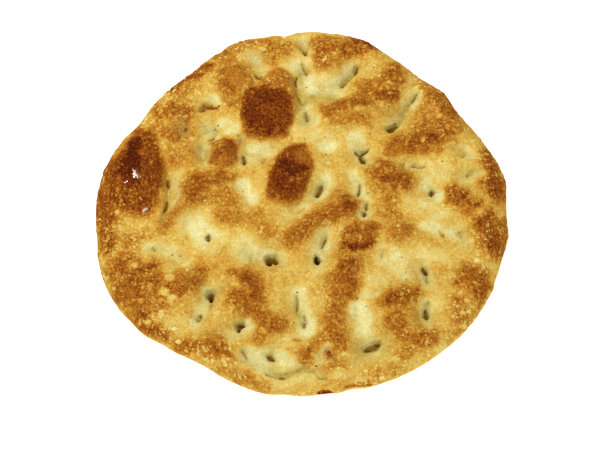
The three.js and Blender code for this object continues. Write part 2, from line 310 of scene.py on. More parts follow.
# Browned ground: how dark, from 0 to 1, half width, and the points that the patch follows.
BROWNED = (
    (0.64, 5, (-47, 110), (-35, 116), (-22, 115), (-12, 112)),
    (0.68, 6, (-22, 106), (-18, 112)),
    (0.7, 8, (12, 112), (25, 112), (36, 112)),
    (0.84, 3, (35, 118), (47, 113)),
    (0.66, 6, (12, 103), (22, 105)),
    (0.7, 6, (60, 87), (62, 93)),
    (0.78, 4, (50, 76), (60, 75)),
    (0.66, 6, (42, 80), (54, 84)),
    (0.7, 6, (24, 66), (35, 70), (44, 72)),
    (0.65, 5, (18, 62), (30, 59), (40, 58)),
    (0.69, 7, (80, 78), (90, 68), (97, 60)),
    (0.62, 5, (75, 68), (80, 62)),
    (0.75, 3, (92, 78), (101, 65)),
    (0.72, 6, (64, 41), (78, 43), (92, 46)),
    (0.79, 4, (69, 40), (78, 42), (86, 43)),
    (0.66, 5, (75, 52), (88, 54), (98, 50)),
    (0.62, 5, (56, 33), (64, 35)),
    (0.76, 6, (118, 28), (121, 18), (124, 2)),
    (0.8, 4, (117, 20), (121, 4)),
    (0.73, 6, (95, 5), (106, -3)),
    (0.79, 3, (98, 5), (103, 1)),
    (0.71, 7.5, (48, 20), (57, 15), (66, 13)),
    (0.81, 4.5, (52, 13), (62, 14)),
    (0.63, 5, (50, 7), (55, 3), (57, -6)),
    (0.77, 6.5, (114, -18), (116, -25), (117, -37)),
    (0.83, 3, (112, -20), (114, -32)),
    (0.7, 4, (125, -20), (123, -38)),
    (0.71, 7, (102, -52), (105, -56), (107, -62)),
    (0.75, 4, (99, -57), (106, -62)),
    (0.55, 4, (111, -72), (100, -85), (88, -96)),
    (0.62, 5, (97, -72), (93, -80)),
    (0.7, 6.5, (57, -83), (66, -93), (76, -93)),
    (0.73, 7, (52, -68), (66, -64)),
    (0.84, 4, (50, -68.5), (57, -67), (62, -66)),
    (0.6, 5, (62, -103), (74, -101)),
    (0.7, 7, (-5, -28), (6, -17), (16, -11), (28, -6)),
    (0.64, 5, (27, -39), (33, -41)),
    (0.77, 4.5, (28, -6.5), (34, -7)),
    (0.74, 6, (33, -24), (42, -22)),
    (0.88, 3.2, (29, -34), (36, -34.5), (45, -32)),
    (0.77, 4, (32, -30), (44, -27)),
    (0.75, 6.5, (22, -53), (29, -47)),
    (0.75, 6, (27, -50), (29, -62)),
    (0.69, 6, (21.5, -62), (22, -72), (20.5, -82), (20.5, -97)),
    (0.65, 4.5, (3, -106), (9, -99), (20, -95)),
    (0.64, 3.2, (15, -116), (22, -111.5)),
    (0.6, 5, (58, -25), (64, -22)),
    (0.56, 5, (48, -10), (60, -15)),
    (0.64, 5, (-50, -12), (-40, -14)),
    (0.58, 6, (-30, -12), (-20, -22)),
    (0.71, 6, (-70, 5), (-60, 12), (-53, 14)),
    (0.6, 5, (-52, 16), (-44, 12)),
    (0.57, 9, (-86, 56), (-78, 44), (-76, 30)),
    (0.79, 4, (-67, 14), (-56, 12)),
    (0.66, 4, (-86, -19), (-76, -6), (-68, 2)),
    (0.62, 6, (-60, 2), (-48, 4), (-44, -2)),
    (0.74, 15, (-108, 35), (-104, 0)),
    (0.98, 6, (-105, 38), (-105, 31), (-109, 22)),
    (0.85, 7, (-111, 22), (-107, 12)),
    (0.8, 7, (-98, 42), (-95, 28)),
    (0.74, 7, (-119, 26), (-122, 10), (-124, 0), (-123, -18)),
    (0.77, 6, (-122, -15), (-120, -35)),
    (0.6, 6, (-107, -29), (-99, -28)),
    (0.72, 3, (-121, -22), (-122, -36)),
    (0.71, 8, (-110, -51), (-100, -56), (-92, -56)),
    (0.7, 8, (-108, -65), (-99, -72), (-97, -77)),
    (0.79, 3.5, (-99, -49), (-92, -48)),
    (0.66, 5.5, (-91, -64), (-86, -68)),
    (0.72, 4.5, (-80, -60), (-72, -61)),
    (0.7, 4, (-64, -49), (-59, -51)),
    (0.66, 4.5, (-74, -57), (-63, -59)),
    (0.74, 4, (-94, -88), (-84, -93)),
    (0.68, 5, (-72, -98), (-56, -99), (-44, -101)),
    (0.73, 5, (-55, -95), (-48, -98)),
    (0.75, 5, (-37, -54), (-30, -60), (-28, -68)),
    (0.71, 7, (-38, -68.5), (-32, -72)),
    (0.7, 6, (-30, -78), (-22, -84), (-16, -87)),
    (0.67, 5, (-28, -92), (-24, -97)),
    (0.76, 4.5, (-84, 81), (-73, 89), (-62, 98)),
    (0.66, 5, (-56, 105), (-48, 104)),
    (0.71, 6, (-92, 62), (-85, 64), (-78, 62)),
    (0.66, 5, (-93, 50), (-80, 44)),
    (0.6, 5, (-78, 76), (-72, 84)),
    (0.66, 8, (-46, 92), (-40, 86)),
    (0.74, 4, (-50, 84), (-46, 77)),
    (0.6, 4, (-52, 72), (-45, 70)),
    (0.78, 12, (-23, 67), (-24, 58)),
    (0.76, 5, (-31, 74), (-10, 71)),
    (0.76, 5, (-32, 52), (-22, 50)),
    (0.66, 8, (-20, 86), (-14, 83)),
    (0.78, 3, (-55, 39.5), (-50, 41), (-44, 37)),
    (0.68, 4, (-46, 34), (-45, 27)),
    (0.82, 8.5, (-4, 28), (-11, 9)),
    (0.98, 4.5, (-10, 25), (-6, 19)),
    (0.88, 5, (-14, 8), (-12, 14)),
    (0.58, 5, (-45, -112), (-35, -117), (-25, -122.5)),
    (0.56, 3, (-26, -121), (-19, -123)),
    (0.5, 3, (14, -123.5), (22, -123)),
    (0.5, 5, (-42, -104), (-36, -113)),
    (0.52, 4, (44, -119), (58, -113)),
    (0.7, 8, (66, 38), (90, 42)),
    (0.64, 11.5, (-108, -50), (-96, -73)),
)

# Pale ground that the dents kept from browning: how pale, half width, and points.
PALE = (
    (0.9, 6, (-32, 102), (-29, 96.5)),
    (0.6, 4, (-40, 106), (-25, 105)),
    (0.8, 4, (2, 112), (2, 119)),
    (0.9, 7, (0, 98), (4, 88), (8, 80)),
    (0.75, 6, (10, 78), (22, 77)),
    (0.7, 6, (14, 88), (22, 84)),
    (0.9, 5, (26, 84), (36, 97)),
    (0.8, 4.5, (60, 53), (68, 66), (75, 77)),
    (0.7, 6, (4, 66), (4, 54)),
    (0.6, 6, (0, 43), (16, 44)),
    (0.95, 7.5, (35, 40.5), (40, 30)),
    (0.8, 5, (14, 36), (20, 36)),
    (0.95, 6.5, (-33, 34.5), (-21, 33.5)),
    (0.7, 4, (-38, 28), (-28, 26)),
    (0.8, 5, (-62, 48), (-57, 44)),
    (0.75, 5, (-52, 53), (-44, 49)),
    (0.8, 4.5, (-62, 71), (-57, 71)),
    (0.7, 3, (-64, 36), (-63, 27)),
    (0.6, 4.5, (-79.5, 17), (-79.5, 4), (-81, -5)),
    (0.95, 9, (-66, -18), (-60, -26)),
    (0.6, 7, (-75, -20), (-60, -14)),
    (0.6, 5, (-56, -36), (-50, -30)),
    (0.75, 5, (-95, -34), (-82, -38), (-72, -44)),
    (0.25, 6, (-113, -20), (-104, -19)),
    (0.8, 7, (-38, -34), (-30, -38)),
    (0.85, 6, (-22, -42), (-14, -42)),
    (0.95, 7.6, (16, -27), (10.5, -44)),
    (0.95, 6, (-36, 8), (-32, 0)),
    (0.4, 4, (-33, -4), (-39, 0)),
    (0.6, 3.5, (-6, -8.5), (2, -6)),
    (0.9, 5, (10, 4), (15, 11)),
    (0.85, 4, (32, 16), (35, 2)),
    (0.85, 4, (42, -2), (39, -12)),
    (0.6, 5, (66, 22), (80, 24)),
    (0.85, 6, (79, 8), (84, 2)),
    (0.7, 6, (75, -4), (85, -12)),
    (0.75, 6, (78, -20), (92, -26)),
    (0.7, 4, (98, -22), (98, -30)),
    (0.7, 4, (103, 34), (107, 30)),
    (0.65, 4, (105, 14), (110, 19)),
    (0.4, 4, (88, 22), (94, 23)),
    (0.8, 9, (52, -42), (64, -44)),
    (0.7, 6, (69, -49), (60, -51)),
    (0.8, 5, (75, -48), (77, -58)),
    (0.6, 6, (70, -38), (84, -40)),
    (0.8, 5, (76, -72), (76, -84)),
    (0.55, 5, (82, -64), (80, -72)),
    (0.95, 7, (36, -76), (38, -88), (42, -102)),
    (0.6, 6, (46, -56), (40, -66)),
    (0.95, 5.5, (-3, -66), (0, -78), (2, -90)),
    (0.6, 5, (-8, -97), (-2, -92)),
    (0.85, 6.3, (-39.5, -90), (-34, -88)),
    (0.85, 5, (-56, -66), (-60, -76), (-64, -86)),
    (0.9, 7, (-31, -107), (-20, -108.5), (-7, -112)),
    (0.5, 4, (-21, -103), (-12, -103)),
    (0.7, 4, (11, -108), (15, -103)),
    (0.3, 4, (26, -108), (31, -112)),
    (0.5, 3, (10, -117), (25, -118)),
    (0.4, 5, (-70, -87), (-76, -84)),
    (0.5, 8, (70, -5), (86, -11)),
    (0.4, 7, (48, -51), (68, -53)),
    (0.5, 7, (72, 24), (80, 14)),
    (0.6, 6, (83, 19), (89, 15)),
    # This stroke along the front right edge is paler crust and partly painted light for that slope,
    # which faces away from the key lamp.
    (0.4, 3.5, (70, -108), (82, -103), (93, -96)),
    (1, 5.5, (33, 41.5), (38, 36)),
    (1, 5, (38, -80), (39, -92)),
)

# Soft shade on the walls of dents: how dark, half width, and points.
SHADES = (
    (0.36, 4, (0, 94), (-1, 80), (2, 66), (3.5, 55)),
    (0.34, 4, (6, 75), (20, 74)),
    (0.2, 4.5, (-62, 53), (-59, 44)),
    (0.3, 3.2, (-65, 38), (-63.5, 25)),
    (0.18, 4, (-78, 55), (-76, 48)),
    (0.25, 4, (-31, 102), (-28, 92)),
    (0.34, 3, (26, 83), (36, 97)),
    (0.36, 3.2, (60, 52), (74, 76)),
    (0.32, 4, (-36, -38), (-29, -42)),
    (0.34, 2.6, (-39.5, 44), (-37, 38), (-36, 26)),
    (0.22, 4, (-30, 30), (-20, 36)),
    (0.28, 5, (-22, -43), (-15, -45)),
    (0.28, 3.5, (15, -27), (10, -46)),
    (0.28, 4.5, (38, -103), (46, -100)),
    (0.26, 3.5, (-56, -66), (-62, -84)),
    (0.3, 3.5, (73, -46), (77, -58)),
    (0.26, 3, (75.5, -74), (75.5, -83)),
    (0.26, 3, (-38, -86), (-37, -91)),
    (0.24, 3, (-35, -103), (-33, -108)),
    (0.26, 3.5, (-20, -107), (-16, -111)),
    (0.42, 1.8, (-18, -117), (-11, -118.6), (-4, -115.4), (4, -114)),
    (0.3, 4, (13, 9), (9, 0)),
    (0.26, 4, (37, 34), (40, 25)),
    (0.26, 3, (34, 14), (36, 2)),
    (0.24, 3, (82, 6), (82, 0)),
    (0.3, 2.8, (-3.4, -68), (-2.4, -79), (1, -88)),
    (0.28, 3, (-58.5, -61.5), (-57, -65)),
    (0.1, 3.5, (-95, -34), (-84, -38), (-74, -43)),
    (0.22, 4, (98, -22), (99, -30)),
    (0.22, 3.5, (104, 33), (106, 29)),
    (0.26, 3, (104, 14), (111, 20)),
)

# Touches of one shade over the rest, such as scorched flakes in pits: how dark, half width, and
# points.
TOUCHES = (
    (0.72, 4.5, (1, 30), (3, 25)),
    (0.97, 2.5, (-14, 23), (-8, 22), (2, 20.5)),
    (0.87, 2, (-13, 29), (-5, 36.5), (2, 37)),
    (0.93, 5, (-14, 14), (-9, 8)),
    (0.48, 3.5, (66, -79), (67, -87)),
    (0.65, 5, (-43, 89.5), (-42, 85.5)),
    (0.76, 0.6, (-36, 88), (-38, 94), (-42, 96.3), (-47, 93.5), (-48.5, 88), (-46.5, 82)),
    (0.55, 2.2, (-119, 31), (-116, 38), (-110, 46)),
    (0.34, 3, (-12, -126), (0, -125), (9, -124.4)),
    # This touch makes the front lip paler: partly its own golden crust, partly painted light on a slope
    # that faces away from the key lamp.
    (0.16, 3, (-15, -123.2), (-11, -124.2), (-4, -121), (2, -119), (6, -120)),
    (0.82, 1.3, (-63.5, 66.7), (-59, 66)),
    (0.82, 0.7, (-59, 66), (-55, 65.3)),
    (0.8, 0.9, (87.6, -26), (88.4, -27)),
    (0.92, 2.1, (16.8, -104.6), (17, -106.4)),
    (0.74, 0.8, (-62.3, -84), (-61, -81)),
    (0.66, 0.9, (-4.4, -95.8), (-1.6, -96.3)),
    (0.84, 0.5, (-33.3, -107), (-32.8, -107.8)),
    (0.86, 0.6, (33, -122.8), (37, -123), (40, -122.4)),
    (0.84, 0.8, (26, -126), (30, -125.2), (41, -124.6)),
    (0.85, 0.8, (-51, -97.8), (-50, -97.8)),
)

# How brown the plain ground, the pale dough, the edge and the underside are, and how far the edge
# covers the rest.
GROUND_BROWN = 0.36
PALE_BROWN = 0.1
EDGE_BROWN = 0.5
UNDER_BROWN = 0.62
EDGE_COVER = 0.7
# Browned ground: contrast, how far it spreads, how soft its border is, and how far out it is sought.
BROWN_GAIN = 1.2
BROWN_LOSS = 0.08
BROWN_SPREAD = 0.7
BROWN_SOFTNESS = 1.4
BROWN_SOFT_SHARE = 0.4
BROWN_MARGIN = 15
# Pale ground: how ragged its border is, its core and fade against the half width, and the margin.
PALE_RAGGED = 0.7
PALE_CORE = 0.3
PALE_FADE = 0.65
PALE_MARGIN = 13
# How soft the border of a touch is, and how far out a shade is sought against its half width.
TOUCH_SOFTNESS = 0.8
TOUCH_SOFT_SHARE = 0.35
SHADE_MARGIN = 3
# The brown of a bubble: where it ends and how softly, which way the painted shade along its foot
# lies, and how wide that is.
BUBBLE_REACH = 0.97
BUBBLE_EDGE = 0.035
SEAM_SHADE_BEHIND = 0.5
SEAM_SHADE_LEFT = 0.85
SEAM_SHADE_WIDTH = 0.05
# Dark crust is more even: by which share, from which brown, and over what span.
EVEN_SHARE = 0.55
EVEN_FROM = 0.65
EVEN_SPAN = 0.2
# The edge is darker away from the front: how much, how far up the edge, over what span, and
# how far from the middle the edge starts.
FAR_EDGE_BROWN = 0.28
FAR_EDGE_REACH = 4.0
FAR_EDGE_SPAN = 120
FAR_EDGE_FROM = 90

# Smooth skin with fewer specks: ovals as they show, and how smooth.
SMOOTH_SPOTS = (
    (1, 30, 9, 8.5, 80, 0.8),
    (-43, 86.5, 7.5, 7, 90, 0.8),
    (-51, 33, 9.5, 9, 0, 0.35),
    (-105, 6, 22, 14, 90, 0.35),
    (-1, -123, 13, 5, 0, 0.8),
    (66.5, -83, 8.5, 4.5, 95, 0.8),
    (-22, 62, 17, 15, 83, 0.35),
    (-106, 34, 11, 6, 110, 0.6),
)

# Pits have a gentle wall on one side, given in degrees from +X to the left, and a steep one
# across from it: how soft the edge of each is, and of the dark bottom.
GENTLE_SIDE = 115
GENTLE_EDGE = 0.9
STEEP_EDGE = 0.25
DARK_EDGE = 0.45
# How wide the funnel round a pit is against its depth, and how the depth is shared.
FUNNEL_REACH = 0.9
FUNNEL_SHARE = 0.4
WELL_SHARE = 0.6
# The raised rim round a pit: how far out, how wide, and how high against the depth.
RIM_REACH = 1.6
RIM_WIDTH = 0.8
RIM_RISE = 0.14
# Slits longer than this many times their whole width end in points, narrower by this share.
LONG_SLIT = 1.8
SLIT_TAPER = 0.6
# How dark the painted shade of a pit is in the middle, how much less behind it, and at least. Then
# how dark and wide its bottom is, how dark its funnel is, and how far out a pit is sought.
MIDDLE_DARK = 0.92
BACK_FADE = 0.25
LEAST_DARK = 0.6
BOTTOM_DARK = 0.78
BOTTOM_REACH = 1.05
FUNNEL_DARK = 0.25
PIT_MARGIN = 8
# Pinholes: depth, darkness of their painted shade, where the wall stands, and how soft it and the dark
# are.
PINHOLE_DEPTH = 1.2
PINHOLE_DARK = 0.8
PINHOLE_REACH = 0.8
PINHOLE_EDGE = 0.15
PINHOLE_DARK_EDGE = 0.2

# Large pale blisters: middle as it shows, half length and half width.
LARGE_BLISTERS = (
    (-83, -64, 3.5, 3), (-91.5, -60.5, 1.8, 2.5), (-97, -70, 2, 2), (-92, -85, 2, 3),
    (-84.5, -79, 2, 2.5), (-78, -68, 3, 2), (-80, -55, 3.5, 2.5), (-101, -47, 1.5, 2),
    (-114, -62.5, 1.7, 1.2), (-96, -61, 1.2, 1.5), (-76, -88.5, 2, 1.3), (-73.5, -97, 2, 1.5),
    (-57.5, -108, 1.5, 1.2), (-52.5, -108.5, 1.3, 1.2), (-42.5, -77, 1.4, 1.5), (-35.5, -76.5, 1.2, 1.8),
    (36, -27, 1.5, 1.8), (1, -23, 1.2, 1), (-26, 111, 2.5, 2), (38, 65, 4, 2.5),
    (107.5, -43.5, 2, 2), (100, -70, 2, 1.5), (97, -78, 2, 1.5), (98, -87, 2, 2), (-70, 42.5, 2.5, 2),
    (-69, 20, 1.5, 1.5), (-54.5, 7, 2, 2), (-121, -35, 1.6, 2.6), (-119, -27, 1.4, 2.2),
)

# Wet spots, which are glossy and carry painted glints: middle as it shows, and radius.
WET_AND_GLINT_SPOTS = (
    (-106, 19.5, 1), (-105, 18, 1.3), (-104.3, 16.5, 1.3), (-103.4, 15, 1.2), (-102.4, 13.8, 1),
    (-105.8, 16.2, 0.8), (-103, 17, 0.8), (-104.8, 14.2, 0.7), (-101.6, 15.3, 0.7), (-100, 12.8, 0.6),
    (-101, 14, 0.8), (-109.4, 11, 0.9), (-110.8, 10.4, 0.6), (-99.6, 8.6, 0.9), (-97.5, -8.6, 1.6),
    (-98.7, -9.7, 1), (-96.4, -8, 0.9), (-100, -1.8, 0.9), (-101, -0.5, 0.6),
    (-37.2, 9, 1.3), (-36, 6, 0.9), (-32.6, -1.8, 1.3), (-31.6, -0.6, 0.9), (-58.3, -29, 0.8),
    (1.8, -85, 0.7), (31.5, -54.5, 1), (32, -49, 0.9), (60.3, -92.5, 0.9), (50.7, -74, 0.8),
    (-21, 85.5, 0.9), (-18, 88, 0.8), (-17, 86.5, 0.8), (-55.5, 99.5, 0.8), (-87, 66, 0.8),
    (-17, -73.5, 0.8), (-101, -42, 0.9), (-87, -73, 1), (-70, -50, 1.3), (-60, -35, 1.3), (17.5, 34, 1),
    (-40, 43, 0.9), (-41.5, 39.5, 0.8), (-60, 27, 0.7), (-61.5, 24, 0.7), (-84.5, 2, 0.8),
    (40.5, -10.3, 0.6), (18, 10, 0.7), (115.5, -19, 1.2), (114.5, -24, 1.2), (113.5, -29, 1.2),
    (116.5, -27, 1), (112.5, -33, 1),
)

# Blisters of the crust: how many, least and most radius, height against the radius, and how much
# paler than the crust their skin is.
BLISTERS = (
    (300, 1.5, 2.6, 0.18, 0.2),
    (1800, 0.9, 1.5, 0.22, 0.18),
)

# Where the blisters lie: least brown, most crowding and least height. Then the ranges of their
# strength and stretch, how far out their points are sought, and the dark rim round each.
BLISTER_BROWN = 0.4
BLISTER_CROWDING = 0.35
BLISTER_LOWEST = 2
BLISTER_STRENGTHS = (0.3, 1)
BLISTER_STRETCHES = (1, 1.6)
BLISTER_SEARCH = 1.3
BLISTER_RIM = 1.12
BLISTER_RIM_WIDTH = 0.2
BLISTER_RIM_DARK = 0.3
# How pale blisters stay on dark crust: gain and least share.
BLISTER_FADE = 3.2
BLISTER_LEAST = 0.2
# Large blisters: rise, how pale, the softness of their edge, and their dark rim.
LARGE_RISE = 0.6
LARGE_PALE = 0.3
LARGE_EDGE = 0.12
LARGE_RIM = 1.15
LARGE_RIM_WIDTH = 0.15
LARGE_RIM_DARK = 0.12

# Specks: how strong inside and how much more at the edge, and where that starts and over what span.
# Then how soft the border of smooth skin is, and how far wet spots stand up.
SPECKS_INSIDE = 0.75
SPECKS_MORE = 0.5
SPECKS_FROM = 80
SPECKS_SPAN = 30
SMOOTH_EDGE = 0.1
WET_RISE = 0.15

# Noises: how strong, how wide the coarsest bumps are in millimetres, and the seed.
EDGE_NOISE = (0.35, 13, 91)
GROUND_NOISE = (0.35, 14, 1)
BUBBLE_NOISE = (1.2, 12, 71)
PIT_NOISE = (0.3, 3, 51)
PATCH_NOISE = (2.2, 13, 11)
PATCH_EDGE_NOISE = (1.8, 5, 25)
PALE_NOISE = (0.3, 6, 45)
BROAD_NOISE = (0.07, 7, 31)
FINE_NOISE = (0.05, 2.4, 35)
UNDER_NOISE = (0.16, 26, 41)
SHADE_NOISE = (0.4, 4, 55)
# Layers of a noise, cells along its lattice, its turn, and the step to the second seed of a pair.
NOISE_LAYERS = 3
NOISE_SIDE = 512
NOISE_TURN = 0.6
SECOND_SEED = 10

# How steep the side of a dome is, and bounds of the formulas.
DOME_POWER = 0.6
MOST_POWER = 30
FAR_AWAY = 99.0
TINY = 1e-9
ON_TABLE = 0.01

# How bright the light is on the top of the bread, where 1 shows a colour as it is.
LIGHT_LEVEL = 1.1
# Colours as they show, each with its place on the scale and how far it covers what lies below. The
# crust goes from pale dough to dark brown, and the painted shade of pits and dent walls from light to
# deep.
CRUST_COLOURS = (
    (0.0, (243, 226, 152), 1),
    (0.12, (234, 210, 122), 1),
    (0.27, (225, 188, 89), 1),
    (0.42, (213, 162, 64), 1),
    (0.55, (197, 137, 46), 1),
    (0.68, (177, 111, 35), 1),
    (0.8, (152, 82, 23), 1),
    (0.91, (117, 52, 16), 1),
    (1.0, (80, 31, 14), 1),
)
HOLLOW_COLOURS = (
    (0.4, (228, 211, 130), 0),
    (0.75, (231, 219, 146), 0.5),
    (1.0, (237, 229, 164), 0.9),
)
PAINTED_SHADE_COLOURS = (
    (0.0, (196, 186, 110), 0),
    (0.3, (184, 168, 86), 0.5),
    (0.6, (140, 98, 8), 0.9),
    (1.0, (60, 28, 0), 1),
)
# Painted glints: near-white highlights laid on the wet spots, in patches from a noise.
PAINTED_GLINT_COLOURS = (
    (0.34, (244, 232, 204), 0),
    (0.46, (250, 246, 232), 0.95),
)

# Noises of the crust's material: cells in a metre, and detail.
GRAIN = (700, 4)
SPECK_PATCHES = (50, 2)
# The noise that breaks the painted glints into patches.
PAINTED_GLINT_NOISE = (900, 2)
MOTTLING = (620, 3)
UNEVEN_GLOSS = (260, 2)
FINE_RELIEF = (520, 4)
BROAD_RELIEF = (200, 2)
WET_RELIEF = (1200, 2)
# Specks of the crust: cells in a metre, spread of their sizes, and the size that is left out. Their
# places are moved by a noise, in metres.
SMALL_SPECKS = (680, 1.9, 0.85)
BIG_SPECKS = (300, 2.2, 1.3)
SPECK_SHARPNESS = 4.0
SPECK_BEND = (420, 0.0025)
# Factors and shifts that bring one value of the material into the range of another, and its plain
# settings.
GOLDEN_TOP = 1.15
GRAIN_RANGE = (1.2, 0.26)
PATCH_CONTRAST = (4.0, -1.4)
PATCH_RANGE = (0.6, 0.5)
BAKED_RANGE = (1.6, -0.35)
SPECK_TOP = 1.25
SPECK_PALER = -0.75
WET_GLINT_PALER = -0.2
MOTTLING_RANGE = (0.7, 0.65)
GLOSS_RANGE = (0.3, 0.42)
SPECK_GLOSS = -0.25
OILY_RANGE = (4.0, -2.8)
OILY_GLOSS = -0.14
WET_GLOSS = -0.45
LEAST_ROUGHNESS = 0.1
COAT_ROUGHNESS = 0.1
SPECULAR_TINT = (1, 0.62, 0.32, 1)
SPECK_RELIEF = 0.7
BROAD_RELIEF_SHARE = 0.9
BUMP_STRENGTH = 0.6
BUMP_DISTANCE = 0.0008

# The studio, in metres and watts. Lights: name, place, size and power.
WHITE = (1, 1, 1, 1)
FLOOR_HALF = 6
FLOOR_COLOUR = (0.95, 0.95, 0.95, 1)
FLOOR_GLOW = 0.6
FLOOR_ROUGHNESS = 0.9
FLOOR_SPECULAR = 0.1
LIGHTS = (
    ("key", (-0.3, 0.42, 1.0), 0.14, 9),
    ("side", (-0.85, 0.0, 0.7), 0.6, 1),
    ("fill", (0.35, -1.1, 0.6), 0.8, 7.5),
)
LIGHT_TARGET = (0, 0, 0.01)
SKY_STRENGTH = 0.27

# The camera: where it aims and how far off it stands, how high in degrees, and its lens, all sizes
# in millimetres.
CAMERA_AIM = (-0.9, -19.3, 12.0)
CAMERA_DISTANCE = 830.0
CAMERA_ELEVATION = 64
CAMERA_LENS = 80
CAMERA_SENSOR = 36


def swell(distance):
    return np.exp(-distance * distance)


def dome(distance):
    return np.maximum(0, 1 - distance * distance) ** DOME_POWER


def inside(distance, edge, softness):
    """1 nearer than the edge and 0 beyond it, over a soft border."""
    return 1 / (1 + np.exp(np.clip((distance - edge) / softness, -MOST_POWER, MOST_POWER)))


def along_and_across(x, y, middle_x, middle_y, turn):
    """Offsets from a middle, along and across a direction in degrees."""
    angle = math.radians(turn)
    along = (x - middle_x) * math.cos(angle) + (y - middle_y) * math.sin(angle)
    across = (y - middle_y) * math.cos(angle) - (x - middle_x) * math.sin(angle)
    return along, across


def spot_distance(x, y, spot):
    """Distance from the middle of an oval, as 1 along its edge."""
    middle_x, middle_y, half_length, half_width, turn = spot
    along, across = along_and_across(x, y, middle_x, middle_y, turn)
    return np.hypot(along / half_length, across / half_width)


def bubble_distance(x, y, bubble):
    """Like spot_distance, for a bubble, whose corners are fuller."""
    middle_x, middle_y, half_length, half_width, turn, fullness = bubble
    along, across = along_and_across(x, y, middle_x, middle_y, turn)
    total = (np.abs(along) / half_length) ** fullness + (np.abs(across) / half_width) ** fullness
    return total ** (1 / fullness)


def near_path(x, y, path, margin):
    """Which places lie within a margin of the box around a path."""
    path_x, path_y = zip(*path)
    return np.flatnonzero(
        (x > min(path_x) - margin) & (x < max(path_x) + margin)
        & (y > min(path_y) - margin) & (y < max(path_y) + margin)
    )


def path_distance(x, y, path, start_width=1, end_width=1, pointed=False):
    """Distance from a line through a few points, against a width that changes along it, and how
    far the place lies towards the gentle side."""
    lengths = [math.dist(start, end) for start, end in zip(path, path[1:])]
    whole = sum(lengths)
    tapered = pointed and whole > LONG_SLIT * (start_width + end_width)
    side = math.radians(GENTLE_SIDE)
    nearest = np.full_like(x, np.inf)
    towards = np.zeros_like(x)
    done = 0
    for (start_x, start_y), (end_x, end_y), length in zip(path, path[1:], lengths):
        run_x = end_x - start_x
        run_y = end_y - start_y
        share = np.clip(((x - start_x) * run_x + (y - start_y) * run_y) / length**2, 0, 1)
        way = (done + share * length) / whole
        width = start_width + (end_width - start_width) * way
        if tapered:
            width = width * (1 - SLIT_TAPER * (2 * way - 1) ** 4)
        step_x = x - start_x - share * run_x
        step_y = y - start_y - share * run_y
        distance = np.hypot(step_x, step_y) / width
        closer = distance < nearest
        nearest = np.where(closer, distance, nearest)
        towards = np.where(closer, (step_x * math.cos(side) + step_y * math.sin(side)) / width, towards)
        done += length
    return nearest, towards


def smooth_noise(x, y, cell, seed):
    """Noise from -1 to 1 with soft bumps about one cell wide, in millimetres."""
    lattice = np.random.default_rng(SEED + seed).uniform(-1, 1, (NOISE_SIDE, NOISE_SIDE))
    turn = NOISE_TURN + seed
    column = (x * math.cos(turn) - y * math.sin(turn)) / cell + NOISE_SIDE / 2
    row = (x * math.sin(turn) + y * math.cos(turn)) / cell + NOISE_SIDE / 2
    left, low = np.floor(column).astype(int), np.floor(row).astype(int)
    u, v = column - left, row - low
    u, v = u * u * (3 - 2 * u), v * v * (3 - 2 * v)
    left, low = left % NOISE_SIDE, low % NOISE_SIDE
    right, high = (left + 1) % NOISE_SIDE, (low + 1) % NOISE_SIDE
    near = lattice[low, left] * (1 - u) + lattice[low, right] * u
    far = lattice[high, left] * (1 - u) + lattice[high, right] * u
    return near * (1 - v) + far * v


def noise(x, y, strength, cell, seed):
    """Noise with finer bumps on coarser ones."""
    total = np.zeros_like(x)
    for layer in range(NOISE_LAYERS):
        total += smooth_noise(x, y, cell / 2**layer, seed + layer) / 2**layer
    return strength * total


def shifts(x, y, strength, cell, seed):
    """How far noise moves each place along x and along y, which makes outlines uneven."""
    return noise(x, y, strength, cell, seed), noise(x, y, strength, cell, seed + SECOND_SEED)


def closed_curve(knots, turn_share):
    """Points of a smooth closed line through knots, for shares of a full turn."""
    place = turn_share * len(knots)
    first = np.floor(place).astype(int)
    t = (place - first)[:, None]
    before, start, end, after = (knots[(first + shift) % len(knots)] for shift in (-1, 0, 1, 2))
    slope = end - before
    bend = 2 * before - 5 * start + 4 * end - after
    twist = 3 * start - before - 3 * end + after
    return 0.5 * (2 * start + slope * t + bend * t**2 + twist * t**3)


def waist_line(turn_share):
    """Points of the widest line of the edge, for shares of a full turn from +X to the left."""
    angles = np.arange(len(REACH)) / len(REACH) * 2 * math.pi
    knots = np.array(REACH)[:, None] * np.stack([np.cos(angles), np.sin(angles)], axis=1)
    whole = closed_curve(knots, np.arange(AROUND) / AROUND)
    low, high = whole.min(axis=0), whole.max(axis=0)
    fit = (HIGH - LOW)[:2] / (high - low)
    line = (closed_curve(knots, turn_share) - (low + high) / 2) * fit
    x, y = line.T
    inward = noise(x, y, *EDGE_NOISE)
    for nick_x, nick_y, half_width, depth in NICKS:
        inward += depth * swell(np.hypot(x - nick_x, y - nick_y) / half_width)
    return line * (1 - inward / np.hypot(x, y))[:, None]


def bent_places(x, y):
    """Places moved a little, which makes the bubbles uneven."""
    shift_x, shift_y = shifts(x, y, *BUBBLE_NOISE)
    return x + shift_x, y + shift_y


def ground_height(x, y):
    """Height of the top above the table without the pits, before the edge rounds it down."""
    bent_x, bent_y = bent_places(x, y)
    rise = np.zeros_like(x)
    for *bubble, bubble_height, _, _ in BUBBLES:
        rise = np.maximum(rise, bubble_height * dome(bubble_distance(bent_x, bent_y, bubble)))
    height = CRUMB_TOP + rise
    for *spot, mound_height in MOUNDS:
        height += MOUND_GAIN * mound_height * swell(spot_distance(x, y, spot))
    for *spot, depth in DENTS:
        height -= DENT_GAIN * depth * swell(spot_distance(x, y, spot))
    return height + noise(x, y, *GROUND_NOISE)


